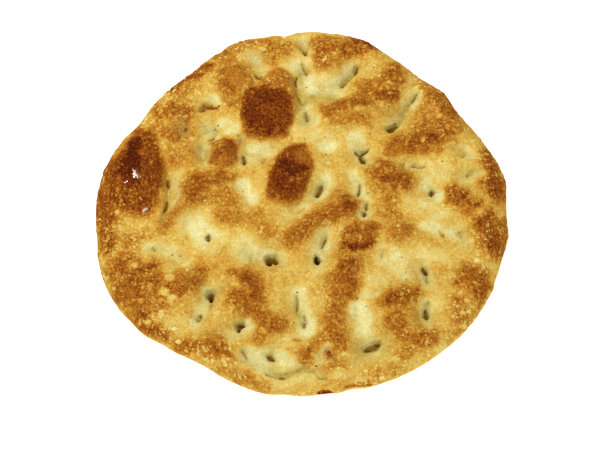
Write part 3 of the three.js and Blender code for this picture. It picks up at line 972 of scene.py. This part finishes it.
def rounded_height(x, y):
    """Height of the ground with the rounding of the edge."""
    edge = waist_line(np.arctan2(y, x) / (2 * math.pi) % 1)
    to_edge = np.hypot(edge[:, 0], edge[:, 1]) - np.hypot(x, y)
    sine = np.clip(1 - to_edge / SHOULDER, 0, 1)
    return WAIST + (ground_height(x, y) - WAIST) * np.sqrt(1 - sine**2)


def true_places(path, depth):
    """Where points that show on the level of the plain top lie, at a depth below the ground."""
    x, seen_y = np.array(path, dtype=float).T
    y = seen_y
    for _ in range(SIGHT_ROUNDS):
        y = seen_y + (CRUMB_TOP - rounded_height(x, y) + depth) * SIGHT_SLOPE
    return list(zip(x.tolist(), y.tolist()))


def as_seen(points):
    """Where points show from the front, on the level of the plain top."""
    x, y, z = points.T
    return x, y + (z - CRUMB_TOP) * SIGHT_SLOPE


PLACED_PITS = [(*pit[:4], true_places(pit[4:], SIGHT_DEPTH * pit[0])) for pit in PITS]
PLACED_PINHOLES = [(*true_places([(x, y)], 0)[0], radius) for x, y, radius in PINHOLES]


def pit_darkness(y, path, distance, width, funnel):
    """How dark the painted shade of a pit is: most at the front of its bottom, and less in the funnel
    round it.
    """
    path_y = [point[1] for point in path]
    behind = (y - sum(path_y) / len(path_y)) / (0.5 * (max(path_y) - min(path_y)) + width)
    front_dark = np.clip(MIDDLE_DARK - BACK_FADE * behind, LEAST_DARK, 1)
    bottom = inside(distance, BOTTOM_REACH, DARK_EDGE / width)
    return BOTTOM_DARK * front_dark * bottom + FUNNEL_DARK * funnel


def pit_marks(x, y):
    """How far the pits sink each place, how dark their painted shade makes it, and how near it lies to a
    pit.
    """
    drop = np.zeros_like(x)
    dark = np.zeros_like(x)
    nearest = np.full_like(x, FAR_AWAY)
    strength, cell, seed = PIT_NOISE
    for depth, darkness, start_width, end_width, path in PLACED_PITS:
        some = near_path(x, y, path, PIT_MARGIN + 2 * max(start_width, end_width))
        width = (start_width + end_width) / 2
        shift_x, shift_y = shifts(x[some], y[some], strength * min(1, width), cell, seed)
        some_x, some_y = x[some] + shift_x, y[some] + shift_y
        distance, towards = path_distance(some_x, some_y, path, start_width, end_width, pointed=True)
        softness = STEEP_EDGE + (GENTLE_EDGE - STEEP_EDGE) * (0.5 + 0.5 * np.tanh(2 * towards))
        well = inside(distance, 1, softness / width)
        funnel = swell(distance * width / (FUNNEL_REACH * depth))
        rim = swell((distance * width - width - RIM_REACH) / RIM_WIDTH)
        sunk = depth * (WELL_SHARE * well + FUNNEL_SHARE * funnel - RIM_RISE * rim)
        drop[some] = np.maximum(drop[some], sunk)
        darker = darkness * pit_darkness(some_y, path, distance, width, funnel)
        dark[some] = np.maximum(dark[some], darker)
        nearest[some] = np.minimum(nearest[some], distance)
    for hole_x, hole_y, radius in PLACED_PINHOLES:
        distance = np.hypot(x - hole_x, y - hole_y) / radius
        drop = np.maximum(drop, PINHOLE_DEPTH * inside(distance, PINHOLE_REACH, PINHOLE_EDGE))
        dark = np.maximum(dark, PINHOLE_DARK * inside(distance, PINHOLE_REACH, PINHOLE_DARK_EDGE))
        nearest = np.minimum(nearest, distance)
    return drop, dark, nearest


def top_height(x, y):
    height = ground_height(x, y) - pit_marks(x, y)[0]
    return LEAST_CRUMB + PIT_SOFTNESS * np.log1p(np.exp((height - LEAST_CRUMB) / PIT_SOFTNESS))


def top_plan():
    """Places on the top by ring from the middle, ring k with 6 k of them: x, y, and how far the
    edge bends down there, from 0 to a quarter turn."""
    ring = np.concatenate([[0], *(np.full(6 * k, k) for k in range(1, TOP_RINGS + 1))])
    step = np.concatenate([[0], *(np.arange(6 * k) for k in range(1, TOP_RINGS + 1))])
    edge = waist_line(step / np.maximum(6 * ring, 1))
    reach = np.hypot(edge[:, 0], edge[:, 1])
    flat_rings = TOP_RINGS - SHOULDER_RINGS
    bend = np.clip((ring - flat_rings) / SHOULDER_RINGS, 0, 1) * math.pi / 2
    flat_share = np.minimum(1, ring / flat_rings)
    distance = flat_share * (reach - SHOULDER) + SHOULDER * np.sin(bend)
    return np.column_stack([edge / reach[:, None] * distance[:, None], bend])


def top_faces():
    """Triangles of the top, ring by ring in six sectors."""
    faces = []
    starts = [0] + [1 + 3 * k * (k - 1) for k in range(1, TOP_RINGS + 1)]
    for k in range(1, TOP_RINGS + 1):
        sector, i = np.divmod(np.arange(6 * k), k)
        outer = starts[k] + np.arange(6 * k)
        outer_next = starts[k] + (np.arange(6 * k) + 1) % (6 * k)
        around = max(6 * (k - 1), 1)
        inner = starts[k - 1] + (sector * (k - 1) + i) % around
        inner_next = starts[k - 1] + (sector * (k - 1) + i + 1) % around
        faces.append(np.stack([inner, outer, outer_next], axis=1))
        between = i < k - 1
        faces.append(np.stack([inner, outer_next, inner_next], axis=1)[between])
    return np.concatenate(faces)


def refine(places, faces, limit):
    """Halves the edges of the triangles that lie near a pit, so that its walls come out sharp."""
    pairs = np.sort(faces[:, [0, 1, 1, 2, 2, 0]].reshape(-1, 2), axis=1)
    keys, which = np.unique(pairs[:, 0] * len(places) + pairs[:, 1], return_inverse=True)
    middles = (places[keys // len(places)] + places[keys % len(places)]) / 2
    split = (pit_marks(middles[:, 0], middles[:, 1])[2] < limit) & (middles[:, 2] < REFINE_BEND)
    added = np.full(len(keys), -1)
    added[split] = len(places) + np.arange(split.sum())
    middle = added[which.reshape(-1, 3)]
    count = (middle >= 0).sum(axis=1)
    result = [faces[count == 0]]
    a, b, c = faces[count == 3].T
    ab, bc, ca = middle[count == 3].T
    for corners in ((a, ab, ca), (ab, b, bc), (ca, bc, c), (ab, bc, ca)):
        result.append(np.stack(corners, axis=1))
    for turn in range(3):
        turned = np.roll(faces, -turn, axis=1)
        turned_middle = np.roll(middle, -turn, axis=1)
        one = (count == 1) & (turned_middle[:, 0] >= 0)
        a, b, c = turned[one].T
        ab = turned_middle[one, 0]
        result += [np.stack([a, ab, c], axis=1), np.stack([ab, b, c], axis=1)]
        two = (count == 2) & (turned_middle[:, 2] < 0)
        a, b, c = turned[two].T
        ab, bc = turned_middle[two, 0], turned_middle[two, 1]
        for corners in ((ab, b, bc), (a, ab, bc), (a, bc, c)):
            result.append(np.stack(corners, axis=1))
    return np.concatenate([places, middles[split]]), np.concatenate(result)


def lower_points():
    """Rings of the edge below the waist, then of the flat underside, and its middle."""
    edge = waist_line(np.arange(AROUND) / AROUND)
    reach = np.hypot(edge[:, 0], edge[:, 1])[:, None]
    rings = []
    for ring in range(1, HEEL_RINGS + 1):
        bend = ring / HEEL_RINGS * math.pi / 2
        flat = edge * (reach - HEEL * (1 - math.cos(bend))) / reach
        rings.append(np.column_stack([flat, np.full(AROUND, WAIST * (1 - math.sin(bend)))]))
    for share in UNDER_SHARES:
        rings.append(rings[HEEL_RINGS - 1] * share)
    return np.concatenate([*rings, np.zeros((1, 3))])


def lower_faces(waist_start, lower_start):
    """Triangles from the waist down to the middle of the underside."""
    step = np.arange(AROUND)
    following = (step + 1) % AROUND
    faces = []
    upper = waist_start
    for ring in range(HEEL_RINGS + len(UNDER_SHARES)):
        lower = lower_start + ring * AROUND
        faces.append(np.stack([upper + step, lower + step, lower + following], axis=1))
        faces.append(np.stack([upper + step, lower + following, upper + following], axis=1))
        upper = lower
    middle = np.full(AROUND, upper + AROUND)
    faces.append(np.stack([middle, upper + following, upper + step], axis=1))
    return np.concatenate(faces)


def vertex_normals(points, faces):
    corners = points[faces]
    face_normals = np.cross(corners[:, 1] - corners[:, 0], corners[:, 2] - corners[:, 0])
    normals = np.zeros_like(points)
    for corner in range(3):
        np.add.at(normals, faces[:, corner], face_normals)
    return normals / np.maximum(np.linalg.norm(normals, axis=1, keepdims=True), TINY)


def baked_bubbles(x, y):
    """How dark the ground and the bubbles are baked, and how much painted shade darkens the feet of the
    bubbles on the left and far side.
    """
    bent_x, bent_y = bent_places(x, y)
    brown = np.full_like(x, GROUND_BROWN)
    seam_shade = np.zeros_like(x)
    for *bubble, _, level, seam_shade_level in BUBBLES:
        middle_x, middle_y, _, half_width = bubble[:4]
        distance = bubble_distance(bent_x, bent_y, bubble)
        share = inside(distance, BUBBLE_REACH, BUBBLE_EDGE)
        brown = np.maximum(brown, GROUND_BROWN + (level - GROUND_BROWN) * share)
        towards = SEAM_SHADE_BEHIND * (y - middle_y) - SEAM_SHADE_LEFT * (x - middle_x)
        left_behind = np.clip(towards / half_width, 0, 1)
        seam_shade = np.maximum(seam_shade, seam_shade_level * left_behind * swell((distance - 1) / SEAM_SHADE_WIDTH))
    return brown, seam_shade


def near_strokes(strokes, seen, ragged, margin):
    """For each stroke: its level, half width, the points near it, and their distance."""
    for level, half_width, *path in strokes:
        some = near_path(*seen, path, half_width + margin)
        distance = path_distance(ragged[0][some], ragged[1][some], path)[0]
        yield level, half_width, some, distance


def brown_and_darken_edge(brown, points):
    """Browns the edge below the waist, and makes it darker away from the front."""
    x, y, z = points.T
    low = np.clip((WAIST - z) / WAIST, 0, 1)
    brown += (EDGE_BROWN - brown) * low * EDGE_COVER
    far = np.clip(0.5 + y / FAR_EDGE_SPAN, 0, 1) * (np.hypot(x, y) > FAR_EDGE_FROM)
    brown += FAR_EDGE_BROWN * far * np.clip((WAIST + FAR_EDGE_REACH - z) / FAR_EDGE_REACH, 0, 1)


def lay_touches(brown, points):
    """Lays the touches over the brown, and gives how far they cover each point."""
    x, seen_y = as_seen(points)
    touched = np.zeros_like(x)
    for level, half_width, *path in TOUCHES:
        softness = min(TOUCH_SOFTNESS, TOUCH_SOFT_SHARE * half_width)
        share = inside(path_distance(x, seen_y, path)[0], half_width, softness)
        brown += (level - brown) * share
        touched = np.maximum(touched, share)
    return touched


def browning(points):
    """How dark the crust is baked at each point, how far it is the pale dough of a dent, and how far
    a touch covers it, each from 0 to 1."""
    x, y, z = points.T
    seen = as_seen(points)
    shift_x, shift_y = shifts(x, y, *PATCH_NOISE)
    ragged = (x + shift_x, seen[1] + shift_y)
    ragged_edge = noise(x, y, *PATCH_EDGE_NOISE)
    brown, seam_shade = baked_bubbles(x, y)
    for level, half_width, some, distance in near_strokes(BROWNED, seen, ragged, BROWN_MARGIN):
        softness = min(BROWN_SOFTNESS, BROWN_SOFT_SHARE * half_width)
        share = inside(distance + ragged_edge[some], half_width + BROWN_SPREAD, softness)
        gain = BROWN_GAIN * level - BROWN_LOSS - GROUND_BROWN
        brown[some] = np.maximum(brown[some], GROUND_BROWN + gain * share)
    pale = np.zeros_like(x)
    for level, half_width, some, distance in near_strokes(PALE, seen, ragged, PALE_MARGIN):
        beyond = np.maximum(0, distance + PALE_RAGGED * ragged_edge[some] - PALE_CORE * half_width)
        pale[some] = np.maximum(pale[some], level * swell(beyond / (PALE_FADE * half_width + 1)))
    pale = np.clip(pale * (1 + noise(x, y, *PALE_NOISE)), 0, 1)
    # The seam shade is painted shade along the feet of the bubbles.
    brown += (PALE_BROWN - brown) * pale + seam_shade
    uneven = noise(x, y, *BROAD_NOISE) + noise(x, y, *FINE_NOISE)
    brown += uneven * (1 - EVEN_SHARE * np.clip((brown - EVEN_FROM) / EVEN_SPAN, 0, 1))
    brown_and_darken_edge(brown, points)
    touched = lay_touches(brown, points)
    under = z < ON_TABLE
    brown[under] = UNDER_BROWN + noise(x, y, *UNDER_NOISE)[under]
    return np.clip(brown, 0, 1), pale * (1 - touched), touched


def soft_shade(points):
    """How far each point lies in the soft shade of a dent's wall, from 0 to 1."""
    x, seen_y = as_seen(points)
    shade = np.zeros_like(x)
    for strength, half_width, *path in SHADES:
        some = near_path(x, seen_y, path, SHADE_MARGIN * half_width)
        distance = path_distance(x[some], seen_y[some], path)[0]
        shade[some] = np.maximum(shade[some], strength * swell(distance / half_width))
    return shade * (1 + noise(x, points[:, 1], *SHADE_NOISE))


def notch_share(points):
    """1 in the notch under the front edge, and 0 outside it."""
    x, seen_y = as_seen(points)
    top = NOTCH_TOP - NOTCH_DROP * ((x - NOTCH_MIDDLE) / NOTCH_HALF) ** 2
    across = inside(np.abs(x - NOTCH_MIDDLE), NOTCH_HALF, NOTCH_SIDE_EDGE)
    return inside(seen_y, top, NOTCH_TOP_EDGE) * across


def strewn_blisters(points, brown):
    """Small blisters on the browned crust: how far each point is raised, and how pale its skin is."""
    rng = np.random.default_rng(SEED)
    raised = np.zeros(len(points))
    paler = np.zeros(len(points))
    tree = kdtree.KDTree(len(points))
    for index, point in enumerate(points):
        tree.insert(point, index)
    tree.balance()
    weight = np.clip(brown - BLISTER_BROWN, 0, BLISTER_CROWDING)
    weight[points[:, 2] < BLISTER_LOWEST] = 0
    for count, least, most, rise, paleness in BLISTERS:
        chosen = rng.choice(len(points), size=count, replace=False, p=weight / weight.sum())
        radii = least + (most - least) * rng.random(count) ** 2
        strengths = paleness * rng.uniform(*BLISTER_STRENGTHS, count)
        turns = rng.uniform(0, math.pi, count)
        stretches = rng.uniform(*BLISTER_STRETCHES, count)
        for index, radius, strength, turn, stretch in zip(chosen, radii, strengths, turns, stretches):
            found = tree.find_range(Vector(points[index]), radius * stretch * BLISTER_SEARCH)
            near = np.array([place for _, place, _ in found])
            offset = points[near] - points[index]
            along = offset[:, 0] * math.cos(turn) + offset[:, 1] * math.sin(turn)
            across_squared = np.maximum(0, (offset**2).sum(axis=1) - along**2)
            distance = np.sqrt(across_squared + (along / stretch) ** 2)
            bump = dome(distance / radius)
            rim = swell((distance / radius - BLISTER_RIM) / BLISTER_RIM_WIDTH)
            raised[near] = np.maximum(raised[near], rise * radius * bump)
            skin = np.maximum(paler[near], strength * np.sqrt(bump))
            paler[near] = skin - BLISTER_RIM_DARK * strength * rim
    return raised, paler


def raise_blisters(points, brown):
    """Like strewn_blisters, with the large blisters too."""
    raised, paler = strewn_blisters(points, brown)
    x, seen_y = as_seen(points)
    for blister in LARGE_BLISTERS:
        distance = spot_distance(x, seen_y, (*blister, 0))
        raised = np.maximum(raised, LARGE_RISE * dome(distance))
        rim = swell((distance - LARGE_RIM) / LARGE_RIM_WIDTH)
        paler += LARGE_PALE * inside(distance, 1, LARGE_EDGE) - LARGE_RIM_DARK * rim
    return raised, paler


def speckling(points):
    """How strong the specks of the crust are at each point: most at the edge, least on smooth skin."""
    x, seen_y = as_seen(points)
    from_middle = np.hypot(x, points[:, 1])
    speckled = SPECKS_INSIDE + SPECKS_MORE * np.clip((from_middle - SPECKS_FROM) / SPECKS_SPAN, 0, 1)
    for *spot, smooth in SMOOTH_SPOTS:
        speckled -= smooth * inside(spot_distance(x, seen_y, spot), 1, SMOOTH_EDGE)
    return np.maximum(speckled, 0)


def wet_and_glint_share(points):
    """How wet each point is, from 0 to 1; the same share masks the painted glints."""
    x, seen_y = as_seen(points)
    wet_and_glint = np.zeros_like(x)
    for middle_x, middle_y, radius in WET_AND_GLINT_SPOTS:
        wet_and_glint = np.maximum(wet_and_glint, dome(np.hypot(x - middle_x, seen_y - middle_y) / radius))
    return wet_and_glint


def plain_bread():
    """Points and triangles of the bread without its blisters."""
    plan = top_plan()
    faces = top_faces()
    waist_start = len(plan) - AROUND
    for limit in REFINE_LIMITS:
        plan, faces = refine(plan, faces, limit)
    x, y, bend = plan.T
    z = WAIST + (top_height(x, y) - WAIST) * np.cos(bend)
    points = np.concatenate([np.column_stack([x, y, z]), lower_points()])
    return points, np.concatenate([faces, lower_faces(waist_start, len(plan))])


def finished_crust(points, faces):
    """Points with the blisters raised, and what the crust's material needs at each."""
    normals = vertex_normals(points, faces)
    brown, hollow, touched = browning(points)
    shade = np.maximum(pit_marks(points[:, 0], points[:, 1])[1], soft_shade(points))
    shade *= 1 - touched
    shade[points[:, 2] < ON_TABLE] = 0
    wet_and_glint = wet_and_glint_share(points)
    speckled = speckling(points)
    notch = notch_share(points)
    raised, paler = raise_blisters(points, brown)
    points = points + normals * (raised * speckled + WET_RISE * wet_and_glint - NOTCH_DEPTH * notch)[:, None]
    points[:, 2] = np.maximum(points[:, 2], 0)
    paler = paler * speckled * np.clip(BLISTER_FADE * (1 - brown), BLISTER_LEAST, 1)
    brown = np.clip(brown - paler, 0, 1)
    # The notch is painted dark brown: partly scorched crust, partly painted shade of the hollow under
    # the edge.
    brown += (NOTCH_SHADE_BROWN - brown) * notch
    return points, {"brown": brown, "hollow": hollow, "shade": shade, "wet_and_glint": wet_and_glint, "speckled": speckled}


def make_pinsa():
    points, faces = plain_bread()
    points, layers = finished_crust(points, faces)
    mesh = bpy.data.meshes.new("pinsa_bread")
    mesh.from_pydata((points * MM).tolist(), [], faces.tolist())
    for name, values in layers.items():
        layer = mesh.attributes.new(name, "FLOAT", "POINT")
        layer.data.foreach_set("value", values.astype(np.float32))
    mesh.polygons.foreach_set("use_smooth", np.ones(len(mesh.polygons), dtype=bool))
    mesh.update()
    bread = bpy.data.objects.new("pinsa_bread", mesh)
    bpy.context.scene.collection.objects.link(bread)
    mesh.materials.append(crust_material())
    return bread


def linear(red, green, blue):
    """The colour that shows as this one, from 0 to 255, under the light, by the sRGB formula."""
    def decode(value):
        value = value / 255
        return (value / 12.92 if value <= 0.04045 else ((value + 0.055) / 1.055) ** 2.4) / LIGHT_LEVEL
    return (decode(red), decode(green), decode(blue))


def new_material(name):
    material = bpy.data.materials.new(name)
    material.use_nodes = True
    return material, material.node_tree.nodes["Principled BSDF"]


class Nodes:
    """The nodes of a material, with short ways to add more."""

    def __init__(self, material):
        self.tree = material.node_tree
        self.place = self.add("TexCoord").outputs["Object"]

    def feed(self, node, values):
        """Links inputs of a node, by name or number, to outputs, or sets them to plain values."""
        for name, value in values.items():
            if isinstance(value, bpy.types.NodeSocket):
                self.tree.links.new(value, node.inputs[name])
            else:
                node.inputs[name].default_value = value

    def add(self, kind, values=None, **settings):
        node = self.tree.nodes.new("ShaderNode" + kind)
        for name, setting in settings.items():
            setattr(node, name, setting)
        self.feed(node, values or {})
        return node

    def math(self, operation, *values, clamp=False):
        values = dict(enumerate(values))
        return self.add("Math", values, operation=operation, use_clamp=clamp).outputs[0]

    def times(self, one, other):
        return self.math("MULTIPLY", one, other)

    def scaled(self, value, factor, shift, clamp=False):
        return self.math("MULTIPLY_ADD", value, factor, shift, clamp=clamp)

    def attribute(self, name):
        return self.add("Attribute", attribute_name=name).outputs["Fac"]

    def noise(self, cells_per_metre, detail):
        values = {"Scale": cells_per_metre, "Detail": detail, "Vector": self.place}
        return self.add("TexNoise", values).outputs["Fac"]

    def bent_place(self, cells_per_metre, reach):
        """The place moved a little by noise, in metres."""
        shift = self.add("TexNoise", {"Scale": cells_per_metre, "Vector": self.place}).outputs["Color"]
        values = {0: shift, 1: (reach, reach, reach), 2: self.place}
        return self.add("VectorMath", values, operation="MULTIPLY_ADD").outputs[0]

    def dots(self, where, cells_per_metre, spread, least):
        """Roundish dots of uneven size, 1 in the middle. Cells below the least size have none."""
        node = self.add("TexVoronoi", {"Scale": cells_per_metre, "Vector": where})
        radius = self.scaled(node.outputs["Color"], spread, -least)
        gap = self.math("SUBTRACT", radius, node.outputs["Distance"])
        return self.math("MULTIPLY", gap, SPECK_SHARPNESS, clamp=True)

    def ramp(self, factor, stops):
        """A colour ramp with stops of a position, a colour, and how far it covers."""
        node = self.add("ValToRGB", {"Fac": factor})
        elements = node.color_ramp.elements
        while len(elements) < len(stops):
            elements.new(0.5)
        for element, (position, colour, cover) in zip(elements, stops):
            element.position = position
            element.color = (*linear(*colour), cover)
        return node.outputs

    def cover(self, below, factor, stops):
        """Lays the colours of a ramp over a colour, as far as they cover it. A mix node has its two
        colours at inputs 6 and 7 and the mixed one at output 2."""
        above = self.ramp(factor, stops)
        values = {"Factor": above["Alpha"], 6: below, 7: above["Color"]}
        return self.add("Mix", values, data_type="RGBA").outputs[2]


def crust_specks(nodes, brown):
    """Pale specks, which lie on browned ground only."""
    bent = nodes.bent_place(*SPECK_BEND)
    speck = nodes.math("ADD", nodes.dots(bent, *SMALL_SPECKS), nodes.dots(bent, *BIG_SPECKS))
    patchy = nodes.scaled(nodes.noise(*SPECK_PATCHES), *PATCH_CONTRAST, clamp=True)
    patchy = nodes.scaled(patchy, *PATCH_RANGE)
    baked = nodes.times(nodes.scaled(brown, *BAKED_RANGE, clamp=True), patchy)
    baked = nodes.times(baked, nodes.attribute("speckled"))
    return nodes.times(speck, baked)


def crust_colour(nodes, brown, wet_and_glint, speck):
    golden = nodes.times(brown, nodes.math("SUBTRACT", GOLDEN_TOP, brown))
    grain = nodes.math("SUBTRACT", nodes.noise(*GRAIN), 0.5)
    grain = nodes.times(grain, nodes.scaled(golden, *GRAIN_RANGE))
    lighter = nodes.times(speck, nodes.math("SUBTRACT", SPECK_TOP, brown))
    level = nodes.math("ADD", brown, grain)
    level = nodes.scaled(lighter, SPECK_PALER, level)
    # Wet spots are drawn paler, a painted sheen.
    level = nodes.scaled(wet_and_glint, WET_GLINT_PALER, level)
    colour = nodes.ramp(level, CRUST_COLOURS)["Color"]
    hollow = nodes.math("ADD", nodes.attribute("hollow"), grain)
    colour = nodes.cover(colour, hollow, HOLLOW_COLOURS)
    # Painted shade in the pits and on the walls of the dents.
    colour = nodes.cover(colour, nodes.attribute("shade"), PAINTED_SHADE_COLOURS)
    # Painted glints: near-white highlights on the wet spots.
    colour = nodes.cover(colour, nodes.times(wet_and_glint, nodes.noise(*PAINTED_GLINT_NOISE)), PAINTED_GLINT_COLOURS)
    mottling = nodes.scaled(nodes.noise(*MOTTLING), *MOTTLING_RANGE)
    return nodes.add("VectorMath", {0: colour, "Scale": mottling}, operation="SCALE").outputs[0]


def crust_roughness(nodes, brown, wet_and_glint, speck):
    rough = nodes.scaled(nodes.noise(*UNEVEN_GLOSS), *GLOSS_RANGE)
    rough = nodes.scaled(speck, SPECK_GLOSS, rough)
    rough = nodes.scaled(nodes.scaled(brown, *OILY_RANGE, clamp=True), OILY_GLOSS, rough)
    rough = nodes.scaled(wet_and_glint, WET_GLOSS, rough)
    return nodes.math("MAXIMUM", rough, LEAST_ROUGHNESS)


def crust_relief(nodes, wet_and_glint, speck):
    relief = nodes.scaled(speck, SPECK_RELIEF, nodes.noise(*FINE_RELIEF))
    relief = nodes.scaled(nodes.noise(*BROAD_RELIEF), BROAD_RELIEF_SHARE, relief)
    relief = nodes.scaled(wet_and_glint, nodes.noise(*WET_RELIEF), relief)
    values = {"Strength": BUMP_STRENGTH, "Distance": BUMP_DISTANCE, "Height": relief}
    return nodes.add("Bump", values).outputs["Normal"]


def crust_material():
    material, shader = new_material("crust")
    nodes = Nodes(material)
    brown = nodes.attribute("brown")
    wet_and_glint = nodes.attribute("wet_and_glint")
    speck = crust_specks(nodes, brown)
    nodes.feed(shader, {
        "Base Color": crust_colour(nodes, brown, wet_and_glint, speck),
        "Roughness": crust_roughness(nodes, brown, wet_and_glint, speck),
        "Specular IOR Level": 0,
        "Specular Tint": SPECULAR_TINT,
        "Coat Weight": wet_and_glint,
        "Coat Roughness": COAT_ROUGHNESS,
        "Normal": crust_relief(nodes, wet_and_glint, speck),
    })
    return material


def floor_material():
    material, shader = new_material("floor")
    settings = {
        "Base Color": FLOOR_COLOUR,
        "Emission Color": WHITE,
        "Emission Strength": FLOOR_GLOW,
        "Roughness": FLOOR_ROUGHNESS,
        "Specular IOR Level": FLOOR_SPECULAR,
    }
    for name, value in settings.items():
        shader.inputs[name].default_value = value
    return material


def make_floor():
    mesh = bpy.data.meshes.new("floor")
    signs = ((-1, -1), (1, -1), (1, 1), (-1, 1))
    corners = [(FLOOR_HALF * x, FLOOR_HALF * y, 0) for x, y in signs]
    mesh.from_pydata(corners, [], [(0, 1, 2, 3)])
    floor = bpy.data.objects.new("floor", mesh)
    bpy.context.scene.collection.objects.link(floor)
    mesh.materials.append(floor_material())


def make_light(name, place, size, watts):
    light = bpy.data.lights.new(name, "AREA")
    light.shape = "DISK"
    light.size = size
    light.energy = watts
    holder = bpy.data.objects.new(name, light)
    holder.location = place
    holder.rotation_euler = (Vector(LIGHT_TARGET) - Vector(place)).to_track_quat("-Z", "Y").to_euler()
    bpy.context.scene.collection.objects.link(holder)


def make_sky():
    world = bpy.data.worlds.new("studio")
    bpy.context.scene.world = world
    world.use_nodes = True
    background = world.node_tree.nodes["Background"]
    background.inputs["Color"].default_value = WHITE
    background.inputs["Strength"].default_value = SKY_STRENGTH


def make_camera():
    elevation = math.radians(CAMERA_ELEVATION)
    camera = bpy.data.cameras.new("camera")
    camera.lens = CAMERA_LENS
    camera.sensor_width = CAMERA_SENSOR
    holder = bpy.data.objects.new("camera", camera)
    aside = Vector((0, -math.cos(elevation), math.sin(elevation)))
    holder.location = Vector(CAMERA_AIM) * MM + CAMERA_DISTANCE * MM * aside
    holder.rotation_euler = (math.pi / 2 - elevation, 0, 0)
    bpy.context.scene.collection.objects.link(holder)
    bpy.context.scene.camera = holder


bread = make_pinsa()
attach(bread, "root")
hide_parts("pinsa")
make_floor()
for light_values in LIGHTS:
    make_light(*light_values)
make_sky()
make_camera()
bpy.context.scene.view_settings.view_transform = "Standard"
